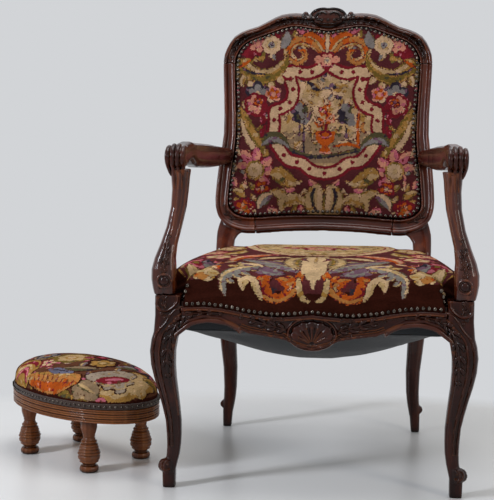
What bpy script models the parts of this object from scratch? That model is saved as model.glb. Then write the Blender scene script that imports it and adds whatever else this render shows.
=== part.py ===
"""An open armchair in the French manner with its oval footstool, piece by piece, as a workshop builds them.

The chair faces -Y, X runs to the right of someone looking at its front, and Z is up. It is drawn about the
middle of its own floor area. At the end the pair is moved so that the origin is the middle of the floor that
both stand on.
"""

import math

import bmesh
import bpy
from mathutils import Matrix, Vector

# Fits
FIT_GAP = 0.0003
TENON_PLAY = 0.0004

# Chair: seat frame
FRONT_SPREAD = 0.577
FRONT_LEG_Y = -0.262
LEG_TOP = 0.396
LEG_BLOCK = 0.0524
LEG_SWING = 0.011
KNEE_WIDTH = 0.0515
TOE_SCROLL_RADIUS = 0.0142
TOE_SCROLL_LENGTH = 0.022
TOE_SCROLL_OUT = 0.005
TOE_SCROLL_HEIGHT = 0.0435
RAIL_TOP = 0.384
RAIL_UNDER = 0.326
APRON_DROP = 0.090
NAIL_DROP = 0.025
FRONT_BOW = 0.016
SIDE_BOW = 0.009
FRONT_RAIL_DEPTH = 0.046
SIDE_RAIL_DEPTH = 0.040
REAR_RAIL_DEPTH = 0.027
REBATE = 0.007
RAIL_BEAD = 0.007
FIELD_SINK = 0.0045
APRON_LIP = 0.015
TENON_LENGTH = 0.018
TENON_HEIGHT = 0.030
TENON_THICKNESS = 0.011
BLOCK_REACH = 0.050
BLOCK_HEIGHT = 0.030
SHELL_WIDTH = 0.095
SHELL_HEIGHT = 0.064
SHELL_PROUD = 0.0085
SHELL_RIBS = 9
SHELL_RIM = 0.0028
SHELL_SPREAD = math.radians(104)

# Chair: rear posts and back frame
REAR_SPREAD = 0.459
REAR_POST_Y = 0.216
REAR_BLOCK = 0.043
REAR_SWAY = 0.012
REAR_KICK = 0.024
REAR_SCROLL_RADIUS = 0.0095
BACK_RAKE = math.radians(14.6)
SEAT_TO_BACK = 0.097
BACK_WIDTH = 0.524
BACK_RISE = 0.5205
BACK_PLANE_Y = 0.243
FRAME_WIDTH = 0.0325
FRAME_DEPTH = 0.034
BACK_APRON = 0.0115
FRAME_BEAD = 0.0105
FRAME_INNER_BEAD = 0.006
FRAME_COVE = 0.008
FRAME_LEDGE = 0.012
LEDGE_HEIGHT = 0.004
REAR_REBATE = 0.005
EDGE_EASE = 0.003
CARTOUCHE_WIDTH = 0.088
CARTOUCHE_HEIGHT = 0.052
CARTOUCHE_DEPTH = 0.034
CREST_BALL_RADIUS = 0.0078
CREST_BALL_SPREAD = 0.110

# Chair: arms
ARM_BASE_WIDTH = 0.053
ARM_SWAY = 0.034
ARM_HEIGHT = 0.646
ARM_GRIP_X = 0.277
ARM_GRIP_HEIGHT = 0.048
ARM_GRIP_WIDTH = 0.041
ARM_GRIP_Y = -0.245
ARM_FRONT = 0.028
ARM_PEG_LENGTH = 0.016
ARM_PEG_RADIUS = 0.006

# Chair: upholstery
WEB_THICKNESS = 0.0016
WEB_LAP = 0.015
WEB_SAG = 0.070
CLOTH_THICKNESS = 0.0014
CLOTH_EXTRA_SAG = 0.016
SPRING_RADIUS = 0.036
SPRING_WIRE = 0.0034
SPRING_TURNS = 3
SPRING_SPREAD_X = 0.20
SPRING_SPREAD_Y = 0.19
SPRING_LIFT = 0.0025
CROWN_RISE = 0.066
COVER_THICKNESS = 0.0042
CUSHION_BULGE = 0.010
BACK_PAD_CROWN = 0.017
BACK_WEB_WIDTH = 0.042

# Footstool
STOOL_X = -0.511
STOOL_Y = -0.0595
STOOL_TURN = math.radians(-37.4)
STOOL_LENGTH = 0.408
STOOL_WIDTH = 0.237
STOOL_LEG_SPREAD_X = 0.206
STOOL_LEG_SPREAD_Y = 0.147
STOOL_LEG_HEIGHT = 0.111
STOOL_LEG_RADIUS = 0.0240
STOOL_RIM_HEIGHT = 0.0305
STOOL_RIM_WALL = 0.0165
STOOL_BEADS = 3
STOOL_BOARD_THICKNESS = 0.020
STOOL_TENON_RADIUS = 0.007
STOOL_TENON_LENGTH = 0.014
STOOL_GIMP_HEIGHT = 0.012
STOOL_GIMP_THICKNESS = 0.0014
STOOL_CROWN = 0.075
STOOL_BULGE = 0.004

# How finely round shapes are divided
LEG_SIDES = 16
POST_SIDES = 12
ARM_SIDES = 12
TURNED_STEPS = 12
OVAL_STEPS = 32
BACK_STEPS = 2

# Half sizes and places that several pieces share
LEG_X = FRONT_SPREAD / 2
LEG_HALF = LEG_BLOCK / 2
POST_X = REAR_SPREAD / 2
POST_HALF = REAR_BLOCK / 2
LEG_INNER_X = LEG_X - LEG_HALF
LEG_BACK_Y = FRONT_LEG_Y + LEG_HALF
LEG_FRONT_Y = FRONT_LEG_Y - LEG_HALF
POST_INNER_X = POST_X - POST_HALF
POST_FRONT_Y = REAR_POST_Y - POST_HALF
REAR_FACE_Y = REAR_POST_Y + POST_HALF - EDGE_EASE
FRONT_INSIDE_Y = LEG_FRONT_Y + FRONT_RAIL_DEPTH
REAR_INSIDE_Y = REAR_FACE_Y - REAR_RAIL_DEPTH
RAIL_MIDDLE = (RAIL_TOP + RAIL_UNDER) / 2
BACK_BASE = RAIL_TOP + SEAT_TO_BACK
SEAT_MIDDLE_Y = (LEG_FRONT_Y + REAR_FACE_Y) / 2
HALF_FRAME = FRAME_DEPTH / 2
SEAT_BASE = RAIL_TOP + FIT_GAP + CLOTH_THICKNESS + FIT_GAP

# Front leg from floor to rail: height as a share of RAIL_UNDER, swing of LEG_SWING, width of KNEE_WIDTH,
# squareness
FRONT_LEG_SHARES = (
    (0.00, 0.00, 0.49, 6.0), (0.09, 0.00, 0.51, 6.0), (0.11, -0.08, 0.47, 4.0), (0.15, -0.33, 0.48, 3.2),
    (0.20, -0.62, 0.50, 3.0), (0.26, -0.78, 0.54, 2.8), (0.33, -0.80, 0.58, 2.8), (0.42, -0.70, 0.62, 2.8),
    (0.51, -0.33, 0.69, 2.8), (0.60, 0.10, 0.77, 2.8), (0.69, 0.58, 0.86, 2.8), (0.78, 0.92, 0.95, 2.8),
    (0.87, 1.00, 1.00, 3.0), (0.94, 0.72, 1.01, 3.4), (0.985, 0.35, 1.00, 4.0),
)
# Rear leg: height as a share of RAIL_UNDER, sway of REAR_SWAY, kick of REAR_KICK, width of REAR_BLOCK,
# squareness
REAR_LEG_SHARES = (
    (0.00, -0.20, 1.00, 0.47, 4.0), (0.11, -0.33, 0.92, 0.55, 4.0), (0.17, -0.54, 0.81, 0.63, 3.0),
    (0.23, -0.75, 0.71, 0.67, 2.8), (0.31, -0.92, 0.54, 0.71, 2.8), (0.46, -0.95, 0.25, 0.78, 2.8),
    (0.61, -0.66, 0.05, 0.86, 2.8), (0.77, -0.37, -0.04, 0.93, 3.0), (0.92, -0.12, -0.04, 0.98, 4.0),
)
# Post between the seat and the back frame: height as a share of that gap, sway, lean from the block to the
# back frame's plane as a share, width and depth of REAR_BLOCK, squareness; near its top it spreads inward
# under the frame
POST_NECK_SHARES = (
    (0.25, 0.20, 0.17, 1.00, 0.95, 4.0), (0.56, 0.35, 0.46, 0.98, 0.88, 3.6),
    (0.75, 0.31, 0.83, 1.02, 0.74, 3.4), (0.866, -0.01, 1.00, 1.19, 0.64, 3.4),
    (0.948, -0.50, 1.13, 1.44, 0.57, 3.4), (1.09, -0.88, 1.33, 1.51, 0.46, 3.4),
    (1.25, -0.88, 1.57, 1.30, 0.30, 3.0),
)
# Right half of the back moulding's outer line, from the middle of its foot to the middle of its crest:
# distance from the centre line as a share of half BACK_WIDTH, height of BACK_RISE, width of FRAME_WIDTH,
# depth of BACK_APRON
BACK_OUTLINE_SHARES = (
    (0.000, 0.0190, 0.92, 1.0), (0.320, 0.0135, 0.96, 1.0), (0.620, 0.0015, 0.98, 1.0),
    (0.745, 0.0033, 0.98, 1.0), (0.850, 0.0185, 0.99, 0.8), (0.905, 0.0340, 1.03, 0.4),
    (0.950, 0.0540, 1.06, 0.1), (0.982, 0.0870, 0.97, 0.0), (0.998, 0.1480, 0.99, 0.0),
    (0.977, 0.2930, 1.01, 0.0), (0.941, 0.4400, 0.96, 0.0), (0.950, 0.6100, 0.91, 0.0),
    (0.967, 0.7720, 0.93, 0.0), (0.942, 0.8360, 0.93, 0.0), (0.875, 0.8900, 0.94, 0.0),
    (0.765, 0.9200, 0.79, 0.0), (0.658, 0.9370, 0.73, 0.0), (0.550, 0.9660, 0.87, 0.0),
    (0.439, 0.9920, 0.94, 0.0), (0.305, 1.0000, 0.89, 0.0), (0.185, 0.9950, 0.93, 0.0),
    (0.000, 0.9920, 1.13, 0.0),
)
LOWER_RAIL_KEYS = 3
STILE_KEYS = 13
# Half of the front rail from the middle to a leg: place as a share of half the rail, bow of FRONT_BOW, drop
# of the nailed ledge of NAIL_DROP, drop of the lower edge of APRON_DROP
FRONT_RAIL_SHARES = (
    (0.00, 1.00, 0.76, 1.00), (0.10, 0.98, 0.87, 0.92), (0.20, 0.89, 0.96, 0.79), (0.32, 0.66, 1.00, 0.73),
    (0.48, 0.25, 0.86, 0.68), (0.60, 0.05, 0.64, 0.54), (0.69, 0.00, 0.49, 0.41), (0.83, 0.09, 0.37, 0.37),
    (0.94, 0.20, 0.41, 0.47), (1.00, 0.25, 0.46, 0.60),
)
# Side rail from the front leg to the rear post: place, drop of the ledge, drop of the lower edge
SIDE_RAIL_SHARES = (
    (0.00, 0.46, 0.60), (0.07, 0.41, 0.46), (0.20, 0.40, 0.42), (0.35, 0.45, 0.53), (0.50, 0.48, 0.62),
    (0.65, 0.45, 0.53), (0.80, 0.40, 0.42), (0.93, 0.42, 0.47), (1.00, 0.46, 0.58),
)
# A rib of the shell from its hinge outward and back into the rail: place along the rib, share of SHELL_PROUD
SHELL_RIB_SHARES = (
    (0.10, -0.35), (0.10, 0.25), (0.40, 0.62), (0.72, 1.00), (0.93, 0.80), (1.00, 0.35), (1.00, -0.35),
)
# Arm support: height as a share of its length, outward place of ARM_SWAY, forward place of ARM_SWAY, width
# and depth of ARM_BASE_WIDTH, squareness
ARM_SUPPORT_SHARES = (
    (0.00, 0.80, 0.00, 0.78, 0.86, 4.0), (0.05, 0.84, 0.02, 0.85, 0.90, 3.4),
    (0.12, 0.88, 0.03, 0.91, 0.92, 3.0), (0.20, 0.88, 0.00, 0.91, 0.90, 2.8),
    (0.29, 0.82, -0.10, 0.78, 0.84, 2.8), (0.40, 0.63, -0.28, 0.63, 0.76, 2.8),
    (0.54, 0.34, -0.48, 0.57, 0.70, 2.8), (0.70, 0.10, -0.64, 0.58, 0.66, 2.8),
    (0.84, 0.02, -0.72, 0.62, 0.66, 2.8), (0.93, 0.01, -0.70, 0.68, 0.72, 3.0),
    (1.00, 0.00, -0.62, 0.77, 0.80, 3.2),
)
# Armrest from the grip's nose to the back frame: place along its length, height of its upper and lower line
# as shares of ARM_GRIP_HEIGHT above ARM_HEIGHT, inward drift as a share of ARM_SWAY, width of
# ARM_GRIP_WIDTH
ARMREST_SHARES = (
    (0.000, 0.62, 0.40, 0.00, 0.84), (0.010, 0.77, 0.22, 0.00, 0.96), (0.028, 0.89, 0.07, 0.00, 1.00),
    (0.055, 0.96, 0.00, 0.00, 1.00), (0.100, 0.97, 0.00, 0.00, 0.98), (0.145, 0.98, 0.12, 0.02, 0.94),
    (0.190, 1.03, 0.27, 0.05, 0.92), (0.240, 1.09, 0.31, 0.10, 0.92), (0.300, 1.03, 0.06, 0.15, 0.92),
    (0.370, 0.99, -0.09, 0.20, 0.92), (0.500, 0.94, -0.17, 0.30, 0.92), (0.650, 0.87, -0.23, 0.42, 0.90),
    (0.800, 0.76, -0.25, 0.60, 0.88), (0.920, 0.65, -0.22, 0.88, 0.88), (1.000, 0.59, -0.17, 1.12, 0.88),
)
# Seat cushion from its base up: share drawn in towards the middle, share of CROWN_RISE, share of
# CUSHION_BULGE
SEAT_RING_SHARES = (
    (0.000, 0.00, 0.00), (0.000, 0.17, 0.70), (0.000, 0.44, 1.00), (0.012, 0.70, 0.90), (0.050, 0.88, 0.50),
    (0.130, 0.95, 0.10), (0.300, 0.98, 0.00), (0.550, 0.995, 0.00), (0.820, 1.00, 0.00),
)
# Back pad: share drawn in, share of BACK_PAD_CROWN
BACK_PAD_SHARES = ((0.000, 0.00), (0.000, 0.28), (0.025, 0.52), (0.090, 0.72), (0.240, 0.88), (0.550, 0.98))
# Stool cushion: share drawn in, share of STOOL_CROWN, share of STOOL_BULGE
STOOL_RING_SHARES = (
    (0.000, 0.00, 0.0), (0.000, 0.17, 0.0), (0.000, 0.35, 1.0), (0.030, 0.53, 1.0), (0.110, 0.73, 0.6),
    (0.260, 0.87, 0.0), (0.480, 0.96, 0.0), (0.750, 1.00, 0.0),
)
# Edges of the upright strips in the back's webbing, as shares of the opening's half width
BACK_WEB_SHARES = (-1, -0.42, -0.14, 0.14, 0.42, 1)
# Half profile of a stool leg from the floor up: radius of STOOL_LEG_RADIUS, height of STOOL_LEG_HEIGHT
STOOL_LEG_SHARES = (
    (0.74, 0.00), (0.84, 0.02), (0.87, 0.07), (0.80, 0.115), (0.56, 0.135), (0.60, 0.155),
)
STOOL_BULB_SHARES = (
    (0.70, 0.165), (0.93, 0.24), (1.00, 0.32), (0.93, 0.42), (0.80, 0.51), (0.66, 0.60), (0.58, 0.64),
)
STOOL_NECK_SHARES = ((0.53, 0.66), (0.55, 0.71), (0.66, 0.79), (0.74, 0.85), (0.76, 1.00))
STOOL_BULB_RINGS = 6
STOOL_RING_DEPTH_SHARE = 0.05

# Materials: colour, roughness, metallic
FINISHES = {
    "carved_walnut": ((0.105, 0.032, 0.014), 0.28, 0.0),
    "stool_beech": ((0.24, 0.085, 0.03), 0.38, 0.0),
    "bare_beech": ((0.42, 0.26, 0.13), 0.7, 0.0),
    "needlepoint": ((0.10, 0.025, 0.022), 0.9, 0.0),
    "black_cotton": ((0.012, 0.014, 0.02), 0.95, 0.0),
    "jute": ((0.36, 0.24, 0.12), 0.95, 0.0),
    "spring_steel": ((0.35, 0.33, 0.31), 0.4, 1.0),
    "gimp_braid": ((0.04, 0.022, 0.016), 0.9, 0.0),
}


def clear_scene():
    for old in list(bpy.data.objects):
        bpy.data.objects.remove(old, do_unlink=True)


def new_collection(name):
    collection = bpy.data.collections.new(name)
    bpy.context.scene.collection.children.link(collection)
    return collection


def finish(name):
    """The material of that name, made on first use."""
    material = bpy.data.materials.get(name)
    if material:
        return material
    colour, roughness, metallic = FINISHES[name]
    material = bpy.data.materials.new(name)
    material.use_nodes = True
    shader = material.node_tree.nodes["Principled BSDF"]
    shader.inputs["Base Color"].default_value = (*colour, 1.0)
    shader.inputs["Roughness"].default_value = roughness
    shader.inputs["Metallic"].default_value = metallic
    return material


def add_piece(name, bm, material, parent):
    """Turns a bmesh into a named piece under its parent."""
    mesh = bpy.data.meshes.new(name)
    bm.to_mesh(mesh)
    bm.free()
    piece = bpy.data.objects.new(name, mesh)
    PIECES.objects.link(piece)
    piece.parent = parent
    mesh.materials.append(finish(material))
    mesh.shade_smooth()
    mesh.set_sharp_from_angle(angle=math.radians(40))
    return piece


def add_helper(name, bm, parent):
    """A hidden body that a Boolean joins to a piece or cuts from it."""
    mesh = bpy.data.meshes.new(name)
    bm.to_mesh(mesh)
    bm.free()
    helper = bpy.data.objects.new(name, mesh)
    HELPERS.objects.link(helper)
    helper.parent = parent
    helper.hide_render = True
    helper.display_type = "WIRE"
    return helper


def combine(piece, bm, operation, label):
    helper = add_helper(f"{piece.name}_{label}", bm, piece.parent)
    boolean = piece.modifiers.new(label, "BOOLEAN")
    boolean.operation = operation
    boolean.object = helper
    boolean.solver = "EXACT"


def loft(rings, closed=False):
    """A closed skin through rings of equally many points, with flat ends unless it joins its own start."""
    bm = bmesh.new()
    rows = [[bm.verts.new(point) for point in ring] for ring in rings]
    runs = list(zip(rows, rows[1:]))
    if closed:
        runs.append((rows[-1], rows[0]))
    for lower, upper in runs:
        for i, _ in enumerate(lower):
            bm.faces.new((lower[i - 1], lower[i], upper[i], upper[i - 1]))
    if not closed:
        bm.faces.new(rows[0])
        bm.faces.new(rows[-1])
    bmesh.ops.recalc_face_normals(bm, faces=bm.faces[:])
    return bm


def box(centre, size, axes=None):
    """A block of that size about its centre, along the three given unit vectors where there are any."""
    bm = bmesh.new()
    bmesh.ops.create_cube(bm, size=1.0)
    turn = Matrix(axes).transposed() if axes else Matrix.Identity(3)
    for vert in bm.verts:
        vert.co = Vector(centre) + turn @ Vector([c * s for c, s in zip(vert.co, size)])
    return bm


def ball(centre, radii, segments=14, rings=8):
    bm = bmesh.new()
    bmesh.ops.create_uvsphere(bm, u_segments=segments, v_segments=rings, radius=1.0)
    for vert in bm.verts:
        vert.co = Vector(centre) + Vector([c * r for c, r in zip(vert.co, radii)])
    return bm


def roll(centre, axis, radius, length, segments=14):
    """A short cylinder about an axis."""
    bm = bmesh.new()
    bmesh.ops.create_cone(
        bm, cap_ends=True, segments=segments, radius1=radius, radius2=radius, depth=length
    )
    turn = Vector(axis).to_track_quat("Z", "Y").to_matrix().to_4x4()
    bmesh.ops.transform(bm, matrix=Matrix.Translation(centre) @ turn, verts=bm.verts)
    return bm


def oval(half_u, half_v, squareness, sides):
    """A rounded rectangle as (u, v) pairs: squareness 2 is an ellipse. Its sides lie at the half sizes."""
    power = 2 / squareness
    widest = math.cos(math.pi / sides) ** power
    pairs = []
    for i in range(sides):
        angle = 2 * math.pi * (i + 0.5) / sides
        u = math.copysign(abs(math.cos(angle)) ** power, math.cos(angle)) / widest
        v = math.copysign(abs(math.sin(angle)) ** power, math.sin(angle)) / widest
        pairs.append((u * half_u, v * half_v))
    return pairs


def level_ring(centre_x, centre_y, height, half_x, half_y, squareness, sides):
    return [Vector((centre_x + u, centre_y + v, height)) for u, v in oval(half_x, half_y, squareness, sides)]


def smooth(keys, steps):
    """Points on a smooth curve through the keys, with that many to each span."""
    points = []
    last = len(keys) - 1
    for i in range(last):
        around = (keys[max(i - 1, 0)], keys[i], keys[i + 1], keys[min(i + 2, last)])
        for k in range(steps):
            t = k / steps
            points.append(tuple(
                b + t * (c - a) / 2 + t * t * (a - 2.5 * b + 2 * c - d / 2)
                + t ** 3 * (1.5 * (b - c) + (d - a) / 2)
                for a, b, c, d in zip(*around)
            ))
    points.append(tuple(keys[-1]))
    return points


def mirrored(bm):
    """The other hand of a bmesh, with its faces still pointing out."""
    for vert in bm.verts:
        vert.co.x = -vert.co.x
    bmesh.ops.reverse_faces(bm, faces=bm.faces[:])
    return bm


def for_side(bm, side):
    return mirrored(bm) if side < 0 else bm


def side_face_x(y):
    """The side rail's outer face, from the front leg to the rear post, with a slight bow."""
    share = (y - LEG_BACK_Y) / (POST_FRONT_Y - LEG_BACK_Y)
    start = LEG_X + LEG_HALF - EDGE_EASE
    end = POST_X + POST_HALF - EDGE_EASE
    return start + (end - start) * share + SIDE_BOW * math.sin(math.pi * min(max(share, 0), 1))


def back_point(x, height, forward):
    """A point of the raked back: height is real height, and forward is square to the back's plane."""
    y = BACK_PLANE_Y + (height - BACK_BASE) * math.tan(BACK_RAKE)
    return Vector((x, y - forward * math.cos(BACK_RAKE), height - forward * math.sin(BACK_RAKE)))


def rail_section(depth, ledge, low):
    """A seat rail in section, as (inset, height) pairs: nailed rebate, bead, sunk field, bead and lip."""
    return (
        (depth, RAIL_TOP), (REBATE, RAIL_TOP), (REBATE, ledge), (FIELD_SINK / 3, ledge),
        (0, ledge - RAIL_BEAD / 2), (FIELD_SINK / 3, ledge - RAIL_BEAD),
        (FIELD_SINK, ledge - RAIL_BEAD * 1.3),
        (FIELD_SINK, low + RAIL_BEAD * 1.3), (FIELD_SINK / 3, low + RAIL_BEAD), (0, low + RAIL_BEAD / 2),
        (FIELD_SINK / 2, low), (APRON_LIP, low), (APRON_LIP + FIELD_SINK, RAIL_UNDER), (depth, RAIL_UNDER),
    )


def make_front_leg(side, parent):
    """Cabriole leg: a square foot, a scrolled toe, a slim ankle and a full knee below the rails' block."""
    rings = []
    for height, swing, width, squareness in FRONT_LEG_SHARES:
        half = KNEE_WIDTH * width / 2
        out = LEG_SWING * swing
        rings.append(level_ring(
            LEG_X + out, FRONT_LEG_Y - out, RAIL_UNDER * height, half, half, squareness, LEG_SIDES
        ))
    for height in (RAIL_MIDDLE, LEG_TOP):
        rings.append(level_ring(LEG_X, FRONT_LEG_Y, height, LEG_HALF, LEG_HALF, 8.0, LEG_SIDES))
    hand = "left" if side < 0 else "right"
    leg = add_piece(f"front_leg_{hand}", for_side(loft(rings), side), "carved_walnut", parent)
    toe = (LEG_X + TOE_SCROLL_OUT, FRONT_LEG_Y - TOE_SCROLL_OUT, TOE_SCROLL_HEIGHT)
    scroll = roll(toe, (1, 1, 0), TOE_SCROLL_RADIUS, TOE_SCROLL_LENGTH)
    combine(leg, for_side(scroll, side), "UNION", "toe_scroll")
    for label, mortise in (
        ("front_mortise", front_tenon(TENON_PLAY)),
        ("side_mortise", side_front_tenon(TENON_PLAY)),
        ("arm_mortise", support_foot_tenon(TENON_PLAY)),
    ):
        combine(leg, for_side(mortise, side), "DIFFERENCE", label)
    return leg


def front_tenon(play=0.0):
    """Tongue of the front rail in the right leg, or its mortise where play is given."""
    length = TENON_LENGTH + TENON_THICKNESS
    centre = (LEG_INNER_X + TENON_LENGTH - length / 2, FRONT_LEG_Y, RAIL_MIDDLE)
    return box(centre, (length + 2 * play, TENON_THICKNESS + 2 * play, TENON_HEIGHT + 2 * play))


def side_front_tenon(play=0.0):
    length = TENON_LENGTH + TENON_THICKNESS
    centre = (LEG_X, LEG_BACK_Y - TENON_LENGTH + length / 2, RAIL_MIDDLE)
    return box(centre, (TENON_THICKNESS + 2 * play, length + 2 * play, TENON_HEIGHT + 2 * play))


def side_rear_tenon(play=0.0):
    length = TENON_LENGTH + TENON_THICKNESS
    centre = (POST_X + TENON_THICKNESS / 4, POST_FRONT_Y + TENON_LENGTH - length / 2, RAIL_MIDDLE)
    return box(centre, (TENON_THICKNESS + 2 * play, length + 2 * play, TENON_HEIGHT + 2 * play))


def rear_tenon(play=0.0):
    reach = TENON_LENGTH * 0.85
    length = reach + TENON_THICKNESS
    middle_y = (REAR_FACE_Y + REAR_INSIDE_Y) / 2 + TENON_THICKNESS / 4
    centre = (POST_INNER_X + reach - length / 2, middle_y, RAIL_MIDDLE)
    thickness = TENON_THICKNESS * 0.8
    return box(centre, (length + 2 * play, thickness + 2 * play, TENON_HEIGHT + 2 * play))


def support_foot_tenon(play=0.0):
    """Peg under the arm support, in the top of the front leg."""
    length = ARM_PEG_LENGTH * 2
    x, y = support_place(0)
    return roll((x, y, LEG_TOP), (0, 0, 1), ARM_PEG_RADIUS + play, length + 2 * play)


def support_head_tenon(play=0.0):
    """Peg on top of the arm support, in the armrest."""
    length = ARM_PEG_LENGTH * 2
    x, y = support_place(-1)
    return roll((x, y, ARM_HEIGHT), (0, 0, 1), ARM_PEG_RADIUS + play, length + 2 * play)


def support_place(index):
    """Where the arm support's section of that number lies in plan."""
    _, out, forward, _, _, _ = ARM_SUPPORT_SHARES[index]
    return LEG_X - ARM_SWAY * 0.56 + ARM_SWAY * out, FRONT_LEG_Y - ARM_SWAY * forward


def make_front_rail(parent):
    """Serpentine front rail with its nailed rebate, beads and the carved shell in an oval frame."""
    half = LEG_INNER_X - FIT_GAP
    stations = [(-share, *rest) for share, *rest in reversed(FRONT_RAIL_SHARES[1:])] + list(FRONT_RAIL_SHARES)
    rings = []
    for share, bow, ledge, low in stations:
        face = LEG_FRONT_Y + EDGE_EASE - FRONT_BOW * bow
        depth = FRONT_INSIDE_Y - face
        section = rail_section(depth, RAIL_TOP - NAIL_DROP * ledge, RAIL_TOP - APRON_DROP * low)
        rings.append([Vector((half * share, face + inset, height)) for inset, height in section])
    rail = add_piece("front_rail", loft(rings), "carved_walnut", parent)
    combine(rail, make_shell(), "UNION", "shell")
    combine(rail, make_shell_frame(), "UNION", "shell_frame")
    for side in (1, -1):
        combine(rail, for_side(front_tenon(), side), "UNION", f"tenon_{'left' if side < 0 else 'right'}")
    return rail


def shell_centre():
    middle = RAIL_TOP - APRON_DROP + SHELL_HEIGHT * 0.52
    return Vector((0, LEG_FRONT_Y + EDGE_EASE - FRONT_BOW, middle))


def make_shell():
    """Scallop shell: a fan of ribs that spreads from a hinge at the foot of the oval."""
    centre = shell_centre()
    hinge = centre - Vector((0, 0, SHELL_HEIGHT * 0.34))
    stations = SHELL_RIBS * 4
    rings = []
    for k in range(stations + 1):
        angle = SHELL_SPREAD * (2 * k / stations - 1)
        rib = abs(math.cos(math.pi * SHELL_RIBS * (k / stations - 0.5)))
        direction = Vector((math.sin(angle), 0, math.cos(angle)))
        reach = shell_reach(angle) * (0.90 + 0.06 * rib)
        proud = SHELL_PROUD * (0.55 + 0.45 * rib)
        rings.append([
            hinge + direction * reach * out + Vector((0, FIELD_SINK - proud * lift, 0))
            for out, lift in SHELL_RIB_SHARES
        ])
    return loft(rings)


def shell_reach(angle):
    """How far the oval's inside lies from the shell's hinge, in that direction."""
    half_x = SHELL_WIDTH / 2 - SHELL_RIM
    half_z = SHELL_HEIGHT / 2 - SHELL_RIM
    below = -SHELL_HEIGHT * 0.34
    a = (math.sin(angle) / half_x) ** 2 + (math.cos(angle) / half_z) ** 2
    b = below * math.cos(angle) / half_z ** 2
    c = (below / half_z) ** 2 - 1
    return (-b + math.sqrt(b * b - a * c)) / a


def make_shell_frame():
    """Raised oval bead round the shell."""
    centre = shell_centre()
    rings = []
    for k in range(24):
        angle = 2 * math.pi * k / 24
        out = Vector((math.cos(angle), 0, math.sin(angle)))
        spot = centre + Vector((out.x * SHELL_WIDTH / 2, FIELD_SINK, out.z * SHELL_HEIGHT / 2))
        ring = []
        for j in range(5):
            turn = 2 * math.pi * j / 5
            ring.append(
                spot + out * SHELL_RIM * math.cos(turn) + Vector((0, SHELL_PROUD * 0.75 * math.sin(turn), 0))
            )
        rings.append(ring)
    return loft(rings, closed=True)


def side_run():
    """Where a side rail starts behind the front leg, and how long it is."""
    start = LEG_BACK_Y + FIT_GAP
    return start, POST_FRONT_Y - FIT_GAP - start


def make_side_rail(side, parent):
    """Side rail with the front rail's moulding and an arched lower edge."""
    start, run = side_run()
    rings = []
    for share, ledge, low in SIDE_RAIL_SHARES:
        y = start + run * share
        section = rail_section(SIDE_RAIL_DEPTH, RAIL_TOP - NAIL_DROP * ledge, RAIL_TOP - APRON_DROP * low)
        rings.append([Vector((side_face_x(y) - inset, y, height)) for inset, height in section])
    hand = "left" if side < 0 else "right"
    rail = add_piece(f"side_rail_{hand}", for_side(loft(rings), side), "carved_walnut", parent)
    combine(rail, for_side(side_front_tenon(), side), "UNION", "front_tenon")
    combine(rail, for_side(side_rear_tenon(), side), "UNION", "rear_tenon")
    return rail


def make_rear_rail(parent):
    """Plain rear rail between the posts, with an arched lower edge."""
    half = POST_INNER_X - FIT_GAP
    rings = []
    for k in range(-4, 5):
        share = k / 4
        low = RAIL_UNDER - EDGE_EASE * 2 * share * share
        rings.append([Vector((half * share, y, height)) for y, height in (
            (REAR_INSIDE_Y, RAIL_TOP), (REAR_FACE_Y - EDGE_EASE, RAIL_TOP),
            (REAR_FACE_Y, RAIL_TOP - EDGE_EASE),
            (REAR_FACE_Y, low + EDGE_EASE), (REAR_FACE_Y - EDGE_EASE, low),
            (REAR_FACE_Y - EDGE_EASE * 2, low), (REAR_FACE_Y - EDGE_EASE * 3, RAIL_UNDER),
            (REAR_INSIDE_Y, RAIL_UNDER),
        )])
    rail = add_piece("rear_rail", loft(rings), "carved_walnut", parent)
    for side in (1, -1):
        combine(rail, for_side(rear_tenon(), side), "UNION", f"tenon_{'left' if side < 0 else 'right'}")
    return rail


def make_corner_blocks(parent):
    """Glued blocks that brace the four corners inside the rails."""
    for hand, side in (("right", 1), ("left", -1)):
        for end, rail_y, corner_x, corner_y, away in (
            ("front", FRONT_INSIDE_Y, LEG_INNER_X, LEG_BACK_Y, 1),
            ("rear", REAR_INSIDE_Y, POST_INNER_X, POST_FRONT_Y, -1),
        ):
            rail_y += FIT_GAP * away
            corner_y += FIT_GAP * away
            corner_x -= FIT_GAP
            far_y = rail_y + BLOCK_REACH * away
            along = [corner_y, (corner_y + far_y) / 2, far_y]
            outline = [(side_face_x(y) - SIDE_RAIL_DEPTH - FIT_GAP, y) for y in along]
            outline += [(corner_x - BLOCK_REACH, rail_y), (corner_x, rail_y), (corner_x, corner_y)]
            bottom = RAIL_UNDER + EDGE_EASE
            rings = [[Vector((x, y, z)) for x, y in outline] for z in (bottom, bottom + BLOCK_HEIGHT)]
            add_piece(f"corner_block_{end}_{hand}", for_side(loft(rings), side), "bare_beech", parent)


def back_lean(height):
    return back_point(0, height, 0).y - REAR_POST_Y


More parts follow.
